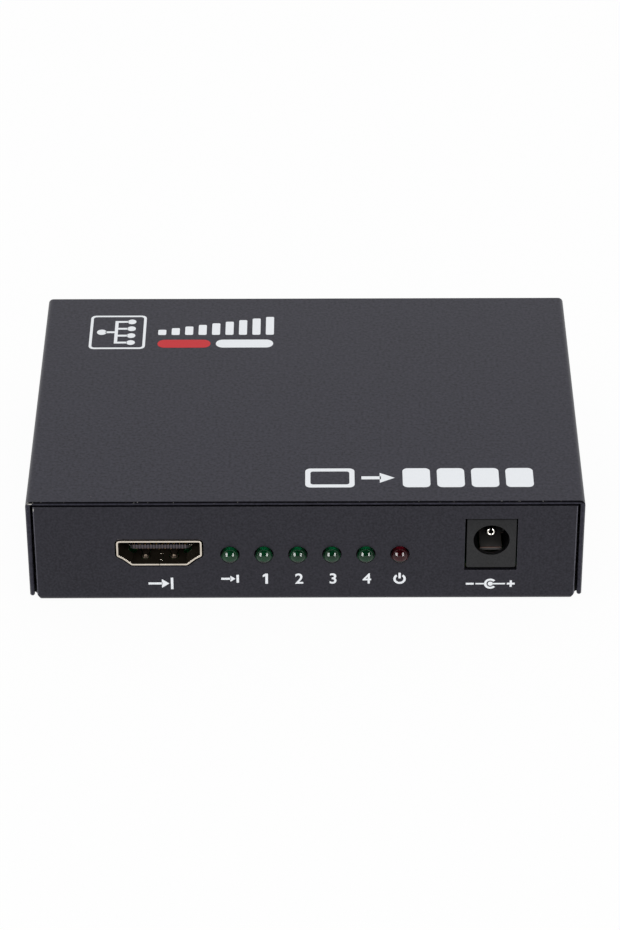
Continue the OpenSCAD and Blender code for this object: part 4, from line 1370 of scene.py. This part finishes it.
@dataclass
class PowerSocket:
    """Power socket: housing, hollow pin, leaf spring, terminals and shunt."""

    corner: float = 0.45
    housing_edge: float = 0.1
    strip_edge: float = 0.05
    tip_round: float = 0.32
    tip_in: float = 0.2
    tip_hole: float = 0.34
    tip_len: float = 0.6
    dull_from: float = 0.4
    hollow: float = 3.0
    slit: float = 0.42
    slit_run: float = 7.5
    neck: Point = (0.7, 2.3)
    rivet: Point = (0.85, 0.3)
    pin_steps: int = 40

    def build(self) -> None:
        """Dress the housing and the strips, and turn the pin."""
        low, high = box("jack_housing")

        def lower_corner(point: Vector) -> bool:
            """Whether a point lies on a lower corner of the face."""
            return min(abs(point.x - low.x), abs(point.x - high.x)) < 0.01 and point.z < low.z + 0.01

        housing = dressed(
            "jack_housing", "jack_body", self.housing_edge, JACK_BLACK, rolled=lower_corner, roll=self.corner,
        )
        settle(housing, "jack_plastic", "jack_housing")
        leaf = dressed("jack_leaf_spring", "jack_leaf_strip", self.strip_edge, LEAF, COPPER)
        settle(leaf, "jack_leaf", "jack_leaf_spring", body=Body.LEAF.value)
        for node in ("jack_pin_terminal", "jack_leaf_terminal", "jack_shunt_contact"):
            settle(dressed(node, node + "_strip", self.strip_edge, TIN), "jack_metal", node)
        self.turn_pin()

    def turn_pin(self) -> None:
        """Pin with a rolled tip around a small hollow."""
        low, high = box("jack_pin")
        radius, length = (high.x - low.x) / 2, high.y - low.y
        centre = Vector(((low.x + high.x) / 2, low.y, (low.z + high.z) / 2))
        lip, half = (radius - self.tip_in + self.tip_hole) / 2, (radius - self.tip_in - self.tip_hole) / 2
        turns = [math.radians(180 - 180 * i / 6) for i in range(7)]
        profile = [(0.0, self.hollow), (self.tip_hole, self.hollow)]
        profile += [(lip + half * math.cos(a), self.tip_round * (1 - math.sin(a))) for a in turns]
        (neck, neck_len), (rivet, rivet_len) = self.neck, self.rivet
        neck_end, rivet_end = length - neck_len, length - rivet_len
        profile += [(radius, self.tip_len), (radius, neck_end)]
        profile += [(radius * neck, neck_end), (radius * neck, rivet_end)]
        profile += [(radius * rivet, rivet_end), (radius * rivet, length), (0.0, length)]
        name = "jack_pin_turned"
        pin = new_piece(name, lathe(name, profile, centre, self.pin_steps), PIN_NICKEL)
        self.cut_slit(pin, centre, radius)
        self.dull_hollow(pin, centre)
        settle(pin, "jack_metal", "jack_pin")

    def cut_slit(self, pin: Piece, centre: Vector, radius: float) -> None:
        """Cut the slit in the upper side of the rolled tip.

        Args:
            pin: turned pin.
            centre: middle of its tip in millimetres.
            radius: its radius in millimetres.
        """
        bm = bmesh.new()
        block(bm, Vector((self.slit, 2 * self.slit_run, radius)), centre + Vector((0, 0, radius * 0.7)))
        cutter = new_piece("slit", mesh_of(bm, "slit"))
        cut = pin.modifiers.new("slit", "BOOLEAN")
        cut.object = cutter
        cut.operation = "DIFFERENCE"
        cut.solver = "EXACT"
        baked(pin)
        bpy.data.objects.remove(cutter)

    def dull_hollow(self, pin: Piece, centre: Vector) -> None:
        """Give the walls of the hollow and the slit behind the rolled tip a dull skin, painted dark as the
        shade inside them.

        Args:
            pin: turned pin.
            centre: middle of its tip in millimetres.
        """
        pin.data.materials.append(PIN_INSIDE.material())
        for face in pin.data.polygons:
            out = face.center - centre * MM
            deep = out.y > self.dull_from * MM
            out.y = 0.0
            if deep and (face.normal.dot(out) < 0 or face.normal.y < -0.5):
                face.material_index = 1


@dataclass
class BoardParts:
    """Circuit board with its fixings, chips and small parts."""

    board_edge: float = 0.06
    cap_share: float = 0.22
    cap_proud: float = 0.03
    plain: tuple[tuple[str, str, float, Finish, str], ...] = (
        ("board_standoffs", "standoff_posts", 0.15, STANDOFF, "standoff_nickel"),
        ("board_screws", "board_fixings", 0.1, ZINC, "screw_zinc"),
        ("splitter_chip", "splitter_chip_body", 0.12, EPOXY, "chip_epoxy"),
        ("splitter_chip_leads", "splitter_chip_legs", 0.0, TIN, "tinned_lead"),
        ("memory_chips", "memory_chip_bodies", 0.1, EPOXY, "chip_epoxy"),
        ("memory_chip_leads", "memory_chip_legs", 0.0, TIN, "tinned_lead"),
        ("voltage_regulators", "regulator_bodies", 0.1, EPOXY, "chip_epoxy"),
        ("regulator_leads", "regulator_legs", 0.0, TIN, "tinned_lead"),
        ("crystal_can", "crystal_shell", 0.25, CRYSTAL, "crystal_metal"),
        ("capacitor_cans", "capacitor_shells", 0.15, CAN, "can_aluminium"),
        ("capacitor_bases", "capacitor_feet", 0.08, SOCKET_BLACK, "socket_plastic"),
        ("power_inductor", "inductor_block", 0.25, FERRITE, "ferrite"),
        ("polarity_diode", "diode_body", 0.12, EPOXY, "chip_epoxy"),
        ("lamp_leads", "lamp_wires", 0.05, TIN, "tinned_lead"),
    )

    def build(self) -> None:
        """Dress the board and what stands on it."""
        board = dressed("circuit_board", "board_panel", self.board_edge, MASK, BOARD_CORE)
        for face in board.data.polygons:
            face.material_index = int(abs(face.normal.z) < 0.5)
        settle(board, "board_mask", "circuit_board")
        for node, name, edge, finish, slot in self.plain:
            settle(dressed(node, name, edge, finish), slot, node)
        self.chip_row("chip_capacitors", "capacitor_chips", CERAMIC, "ceramic")
        self.chip_row("chip_resistors", "resistor_chips", FILM, "resistor_film")

    def chip_row(self, node: str, name: str, finish: Finish, slot: str) -> None:
        """Small parts with tinned ends, one at each solid of a node.

        Args:
            node: node of plain blocks.
            name: name of the piece.
            finish: finish of the bodies.
            slot: material slot of the record.
        """
        boxes = islands(node)
        shape = self.chip_shape(name, boxes[0][1] - boxes[0][0])
        places = [Vector(((low.x + high.x) / 2, (low.y + high.y) / 2, low.z)) for low, high in boxes]
        settle(scattered(name, places, shape, (finish, None), (TIN, "cap")), slot, node)

    def chip_shape(self, name: str, size: Vector) -> Mesh:
        """Mesh of one small part: a body with a wrapped cap at each end.

        Args:
            name: name of the row of parts.
            size: size of one part in millimetres.

        Returns:
            The mesh, with a face attribute that marks the caps.
        """
        bm = bmesh.new()
        cap = bm.faces.layers.bool.new("cap")
        half, inner = size.y / 2, size.y * (0.5 - self.cap_share)
        for start, end, inset in ((-half, -inner, 0.0), (-inner, inner, self.cap_proud), (inner, half, 0.0)):
            span = Vector((size.x - 2 * inset, end - start, size.z - 2 * inset))
            corners = block(bm, span, Vector((0, (start + end) / 2, size.z / 2)))
            for face in {face for vert in corners for face in vert.link_faces}:
                face[cap] = inset == 0.0
        return mesh_of(bm, name + "_shape")


@dataclass
class BoardTraces:
    """Copper lines under the mask, vias and the solder at the chips' feet."""

    width: float = 0.2
    height: float = 0.05
    start: float = 0.9
    lane: float = 0.32
    bend: float = 0.3
    vias: int = 70
    via_seed: int = 11
    via_room: float = 0.6
    board_rim: float = 1.5
    ring: tuple[Point, ...] = ((0.32, -0.02), (0.28, 0.03), (0.16, 0.03), (0.12, -0.02))
    ring_steps: int = 10
    mound: tuple[float, float, float] = (0.24, 0.12, 0.12)
    mound_rise: float = 0.05
    spread: float = 0.2
    top: float = box("circuit_board")[1].z

    def build(self) -> None:
        """Lay the lines, set the vias and the solder."""
        lines = self.output_lines() + self.input_lines()
        settle(ribbons("board_traces", lines, self.width, self.height, TRACE), "board_mask")
        settle(scattered("board_vias", self.via_places(), self.ring_shape(), (TIN, None)), "tinned_lead")
        leads = ("splitter_chip_leads", "memory_chip_leads", "regulator_leads")
        places = [Vector((p.x, p.y, self.top)) for node in leads for p in feet(node)]
        solder = scattered("solder_joints", places, self.solder_shape(), (TIN, None), spread=self.spread)
        settle(solder, "tinned_lead")

    def leads(self, rear: bool) -> list[Vector]:
        """Find the main chip's leads on one side.

        Args:
            rear: whether the rear side is meant, or the front.

        Returns:
            Their outer ends, from left to right.
        """
        low, high = box("splitter_chip")
        found = []
        for one, two in islands("splitter_chip_leads"):
            x = (one.x + two.x) / 2
            if low.x < x < high.x and (two.y > high.y if rear else one.y < low.y):
                found.append(Vector((x, two.y if rear else one.y, self.top)))
        return found

    def tails(self, socket: str, picks: Iterable[int]) -> list[Vector]:
        """Find some of a socket's contacts.

        Args:
            socket: name of the socket.
            picks: numbers of the contacts, from left to right.

        Returns:
            Their inner ends.
        """
        rows = islands(f"{socket}_contacts")
        picked = [rows[i] for i in picks]
        return [Vector(((one.x + two.x) / 2, one.y if one.y > 0 else two.y, self.top)) for one, two in picked]

    def line(self, tail: Vector, lead: Vector, lane: float) -> list[Vector]:
        """One line with its corners cut.

        Args:
            tail: its start.
            lead: its end.
            lane: place in Y of its long run.

        Returns:
            Its points.
        """
        turn = math.copysign(min(self.bend, abs(lead.x - tail.x) / 2), lead.x - tail.x)
        rise = math.copysign(self.bend, tail.y - lane)
        corners = [
            (tail.x, tail.y), (tail.x, lane + rise), (tail.x + turn, lane), (lead.x - turn, lane),
            (lead.x, lane - rise), (lead.x, lead.y),
        ]
        return [Vector((x, y, self.top)) for x, y in corners]

    def output_lines(self) -> list[list[Vector]]:
        """Lines from the rear leads to the output sockets.

        Returns:
            The points of each line, with the outermost lines on the nearest lane.
        """
        ends = [point for name in OUTPUTS for point in self.tails(name, range(1, 19, 4))]
        pairs = list(zip(sorted(ends, key=lambda p: p.x), self.leads(True)))
        return [
            self.line(tail, lead, lead.y + self.start + self.lane * min(i, len(pairs) - 1 - i))
            for i, (tail, lead) in enumerate(pairs)
        ]

    def input_lines(self) -> list[list[Vector]]:
        """Lines from the input socket to the left half of the front leads."""
        pairs = zip(self.tails("input", range(0, 19, 2)), self.leads(False))
        return [self.line(a, b, b.y - self.start - self.lane * i) for i, (a, b) in enumerate(pairs)]

    def via_places(self) -> list[Vector]:
        """Places between the parts, from a fixed seed.

        Returns:
            The places in millimetres.
        """
        chance = random.Random(self.via_seed)
        low, high = box("circuit_board")
        rim, room = self.board_rim, self.via_room
        plates = ("circuit_board", "base_tray", "top_cover", "cover_screws")
        taken = [solid for node in frame["nodes"] if node not in plates for solid in islands(node)]
        places = []
        while len(places) < self.vias:
            x, y = chance.uniform(low.x + rim, high.x - rim), chance.uniform(low.y + rim, high.y - rim)
            if not any(a.x - room < x < b.x + room and a.y - room < y < b.y + room for a, b in taken):
                places.append(Vector((x, y, self.top)))
        return places

    def ring_shape(self) -> Mesh:
        """Mesh of one via: a low ring around a dimple.

        Returns:
            The mesh.
        """
        bm = bmesh.new()
        loops = [
            [bm.verts.new((x * MM, y * MM, height * MM)) for x, y in disc(0.0, 0.0, radius, self.ring_steps)]
            for radius, height in self.ring
        ]
        skin(bm, loops + loops[:1])
        return mesh_of(bm, "via_shape")

    def solder_shape(self) -> Mesh:
        """Mesh of one solder joint: a low round mound.

        Returns:
            The mesh.
        """
        bm = bmesh.new()
        foot, head, height = (size * MM for size in self.mound)
        bmesh.ops.create_cone(
            bm, cap_ends=True, segments=8, radius1=foot, radius2=head, depth=height,
            matrix=Matrix.Translation((0, 0, self.mound_rise * MM)),
        )
        return mesh_of(bm, "solder_shape")


@dataclass
class BoardPrint:
    """Print on the board and on the parts: outlines, plain numbers, dots and polarity marks."""

    line: float = 0.16
    chip_gap: float = 1.6
    part_gap: float = 0.5
    number_height: float = 1.5
    number_shift: Point = (-6.4, -0.4)
    dot_inset: float = 0.7
    can_rim: float = 0.3
    outlined: tuple[str, ...] = (
        "splitter_chip", "memory_chips", "voltage_regulators", "capacitor_bases", "power_inductor",
        "polarity_diode",
    )

    def build(self) -> None:
        """Print the board, the chips' dots and the marks on the cans."""
        sheet = InkSheet("print_board", Side.TOP, Vector((0, 0, box("circuit_board")[1].z)), "board_mask")
        for node in self.outlined:
            gap = self.chip_gap if node.endswith(("_chip", "_chips")) else self.part_gap
            for low, high in islands(node):
                sheet.add(*framed(low.x - gap, low.y - gap, high.x + gap, high.y + gap, self.line))
        for i, name in enumerate(OUTPUTS, 1):
            x, y = middle(name + "_contacts").x, box(name + "_contacts")[0].y
            sheet.number(i, (x + self.number_shift[0], y + self.number_shift[1]), self.number_height)
        sheet.build()
        self.dot_chips("splitter_chip", "print_chip_dot", 0.55)
        self.dot_chips("memory_chips", "print_memory_dots", 0.3)
        self.mark_cans()

    def dot_chips(self, node: str, name: str, radius: float) -> None:
        """Round mark beside the first lead, on top of each chip of a node.

        Args:
            node: node of the chips.
            name: name of the print.
            radius: radius of the mark.
        """
        boxes = islands(node)
        sheet = InkSheet(name, Side.TOP, Vector((0, 0, boxes[0][1].z)), "chip_epoxy")
        inset = radius + self.dot_inset
        sheet.add(*(disc(low.x + inset, high.y - inset, radius, 16) for low, high in boxes))
        sheet.build()

    def mark_cans(self) -> None:
        """Dark half-round polarity mark on each can."""
        boxes = islands("capacitor_cans")
        sheet = InkSheet("print_can_marks", Side.TOP, Vector((0, 0, boxes[0][1].z)), "can_aluminium")
        for low, high in boxes:
            centre = ((low.x + high.x) / 2, (low.y + high.y) / 2)
            sheet.add(arc(centre, (high.x - low.x) / 2 - self.can_rim, 110, 140, 16), ink=BLACK_INK)
        sheet.build()


@dataclass
class Studio:
    """Camera, floor and soft light, with the camera's fit to the photograph in its pixels."""

    focal_px: float = 3487.66
    image: tuple[int, int] = (620, 930)
    elevation: float = 34.385
    yaw: float = 0.164
    roll: float = -0.249
    distance: float = 639.12
    target: tuple[float, float, float] = (0.764, 0.0, 6.04)
    ambient: float = 0.8
    floor_half: float = 3.0
    floor_white: float = 0.96
    floor_pale: Colour = (0.9, 0.9, 0.9)
    floor_dark: Colour = (0.015, 0.015, 0.015)
    open_side: float = 1.0
    open_end: float = 1.6
    open_corner: float = 4.7
    strip_distance: float = 0.8
    strips: tuple[tuple[str, tuple[float, float, float], float, float, float], ...] = (
        ("strip_left", (-0.65, -0.69, 0.32), 0.34, 0.58, 11.5),
        ("strip_right", (0.6, -0.73, 0.33), 0.26, 0.54, 8.0),
    )
    fill: tuple[tuple[float, float, float], float, float, float] = ((0.1, -1.05, 0.42), 0.9, 0.6, 3.5)
    bright: tuple[str, ...] = ("_lens", "_can", "_tips", "_turned", "_strips")
    card_radius: float = 2.0
    card_grid: tuple[int, int] = (24, 12)
    card_dark: Colour = (0.02, 0.02, 0.02)
    card_low: float = 8.0
    card_rise: float = 74.0
    card_turn: float = 75.0

    def build(self) -> None:
        """Set the camera, the floor, the world and the lamps."""
        bpy.context.scene.view_settings.view_transform = "Standard"
        self.set_camera()
        self.lay_floor()
        self.set_world()
        self.hang_lights()
        self.hang_card()

    def put_in(self, name: str, data: bpy.types.ID, place: Vector, axes: Sequence[Vector]) -> Piece:
        """New object in the scene.

        Args:
            name: its name.
            data: camera or light.
            place: its place in metres.
            axes: its directions to the right, up and back.

        Returns:
            The object.
        """
        made = bpy.data.objects.new(name, data)
        made.matrix_world = Matrix.Translation(place) @ Matrix(axes).transposed().to_4x4()
        bpy.context.scene.collection.objects.link(made)
        return made

    def set_camera(self) -> None:
        """Camera at the photograph's viewing angle."""
        e, a, r = (math.radians(angle) for angle in (self.elevation, self.yaw, self.roll))
        back = Vector((math.sin(a) * math.cos(e), -math.cos(a) * math.cos(e), math.sin(e)))
        right = (-back).cross(Vector((0, 0, 1))).normalized()
        up = right.cross(-back)
        side = math.cos(r) * right + math.sin(r) * up
        top = -math.sin(r) * right + math.cos(r) * up
        data = bpy.data.cameras.new("camera")
        data.sensor_width = 36.0
        data.lens = self.focal_px / max(self.image) * data.sensor_width
        data.clip_start, data.clip_end = 0.01, 50.0
        place = (Vector(self.target) + back * self.distance) * MM
        bpy.context.scene.camera = self.put_in("camera", data, place, (side, top, back))

    def seen(self, nodes: Nodes) -> Socket:
        """Tell apart the rays that come from the camera or from a mirror or glass.

        Args:
            nodes: tree to build in.

        Returns:
            1 for these rays and 0 for others.
        """
        path = nodes.add("ShaderNodeLightPath").outputs
        mirror = nodes.calc("MAXIMUM", path["Is Camera Ray"], path["Is Glossy Ray"])
        return nodes.calc("MAXIMUM", mirror, path["Is Transmission Ray"])

    def lay_floor(self) -> None:
        """White floor that keeps a faint shadow, with painted shade in its colour under the case."""
        half = self.floor_half
        corners = [(-half, -half, 0), (half, -half, 0), (half, half, 0), (-half, half, 0)]
        floor = new_piece("floor", drawn("floor", corners, faces=[(0, 1, 2, 3)]))
        material = bpy.data.materials.new("studio_floor")
        material.use_nodes = True
        nodes = Nodes(material.node_tree)
        nodes.tree.nodes.clear()
        opened = self.open_floor(nodes)
        # painted shade: the floor's colour is near black under the case
        shade = nodes.mix(opened, self.floor_dark, self.floor_pale)
        matte = nodes.add("ShaderNodeBsdfDiffuse", {"Color": shade})
        white = nodes.add("ShaderNodeEmission", {"Strength": 1.0})
        share = nodes.calc("MULTIPLY", self.seen(nodes), opened)
        nodes.blend("ShaderNodeOutputMaterial", share, matte, white)
        floor.data.materials.append(material)

    def open_floor(self, nodes: Nodes) -> Socket:
        """Tell apart the floor under the case, where no light falls but at its open corners.

        Args:
            nodes: tree to build in.

        Returns:
            Share of white on the floor.
        """
        wide, deep, _ = CAD_BOX[1]
        place = nodes.add("ShaderNodeTexCoord").outputs["Object"]
        away = nodes.add("ShaderNodeVectorMath", {0: place}, operation="ABSOLUTE").outputs[0]
        x, y, _ = nodes.add("ShaderNodeSeparateXYZ", {0: away}).outputs
        side = nodes.calc("GREATER_THAN", x, wide - self.open_side * MM)
        end = nodes.calc("GREATER_THAN", y, deep - self.open_end * MM)
        corner = nodes.calc("GREATER_THAN", nodes.calc("ADD", x, y), wide + deep - self.open_corner * MM)
        opened = nodes.calc("MAXIMUM", nodes.calc("MAXIMUM", side, end), corner)
        return nodes.calc("MULTIPLY", opened, self.floor_white)

    def set_world(self) -> None:
        """Even light, and a white background for the camera, mirrors and glass."""
        world = bpy.data.worlds.new("studio")
        bpy.context.scene.world = world
        world.use_nodes = True
        nodes = Nodes(world.node_tree)
        nodes.tree.nodes.clear()
        soft, white = (
            nodes.add("ShaderNodeBackground", {"Color": (1, 1, 1), "Strength": strength})
            for strength in (self.ambient, 1.0)
        )
        nodes.blend("ShaderNodeOutputWorld", self.seen(nodes), soft, white)

    def hang_lights(self) -> None:
        """Two upright strip lights beside the camera, and a soft light in front."""
        for name, way, width, height, power in self.strips:
            strip = self.area_light(name, Vector(way) * self.strip_distance, width, height, power)
            strip.visible_diffuse = False
        place, *sizes = self.fill
        fill = self.area_light("front_fill", Vector(place), *sizes)
        fill.visible_glossy = False

    def aim_strips(self) -> None:
        """Let the strip lights reach only the lenses and the bright metal, and leave no glare on paint."""
        group = bpy.data.collections.new("bright_parts")
        for piece in bpy.context.scene.objects:
            if piece.name.endswith(self.bright):
                group.objects.link(piece)
        for name, *_ in self.strips:
            bpy.data.objects[name].light_linking.receiver_collection = group

    def area_light(self, name: str, place: Vector, width: float, height: float, power: float) -> Piece:
        """Soft rectangular light that faces the object, upright to the camera.

        Args:
            name: name of the light.
            place: its place in metres.
            width: its width in metres.
            height: its height in metres.
            power: its power in watts.

        Returns:
            The light.
        """
        data = bpy.data.lights.new(name, "AREA")
        data.shape = "RECTANGLE"
        data.size, data.size_y, data.energy = width, height, power
        back = place.normalized()
        tilt = math.radians(self.elevation)
        right = Vector((0, math.sin(tilt), math.cos(tilt))).cross(back).normalized()
        return self.put_in(name, data, place, (right, back.cross(right), back))

    def hang_card(self) -> None:
        """Dark card around the camera's side, seen only in reflections."""
        columns, rows = self.card_grid
        verts, faces = [], []
        for j in range(rows + 1):
            e = math.radians(self.card_low + self.card_rise * j / rows)
            for i in range(columns + 1):
                a = math.radians(self.card_turn * (2 * i / columns - 1))
                way = Vector((math.sin(a) * math.cos(e), -math.cos(a) * math.cos(e), math.sin(e)))
                verts.append(way * self.card_radius)
        for j in range(rows):
            for i in range(columns):
                k = j * (columns + 1) + i
                faces.append((k, k + 1, k + columns + 2, k + columns + 1))
        card = new_piece("dark_card", drawn("dark_card", verts, faces=faces))
        shader = Shader("studio_card")
        shader.set(Base_Color=self.card_dark)
        card.data.materials.append(shader.material)
        card.visible_camera = card.visible_diffuse = card.visible_shadow = False


def main() -> None:
    """Build the studio and every sub-assembly."""
    logging.basicConfig(level=logging.INFO, format="%(name)s: %(message)s")
    studio = Studio()
    studio.build()
    CaseShell().build()
    CasePrint().build()
    for name in ("input", *OUTPUTS):
        VideoSocket(name).build()
    for node in LAMPS:
        IndicatorLamp(node).build()
    PowerSocket().build()
    BoardParts().build()
    BoardTraces().build()
    BoardPrint().build()
    studio.aim_strips()


if __name__ == "__main__":
    main()
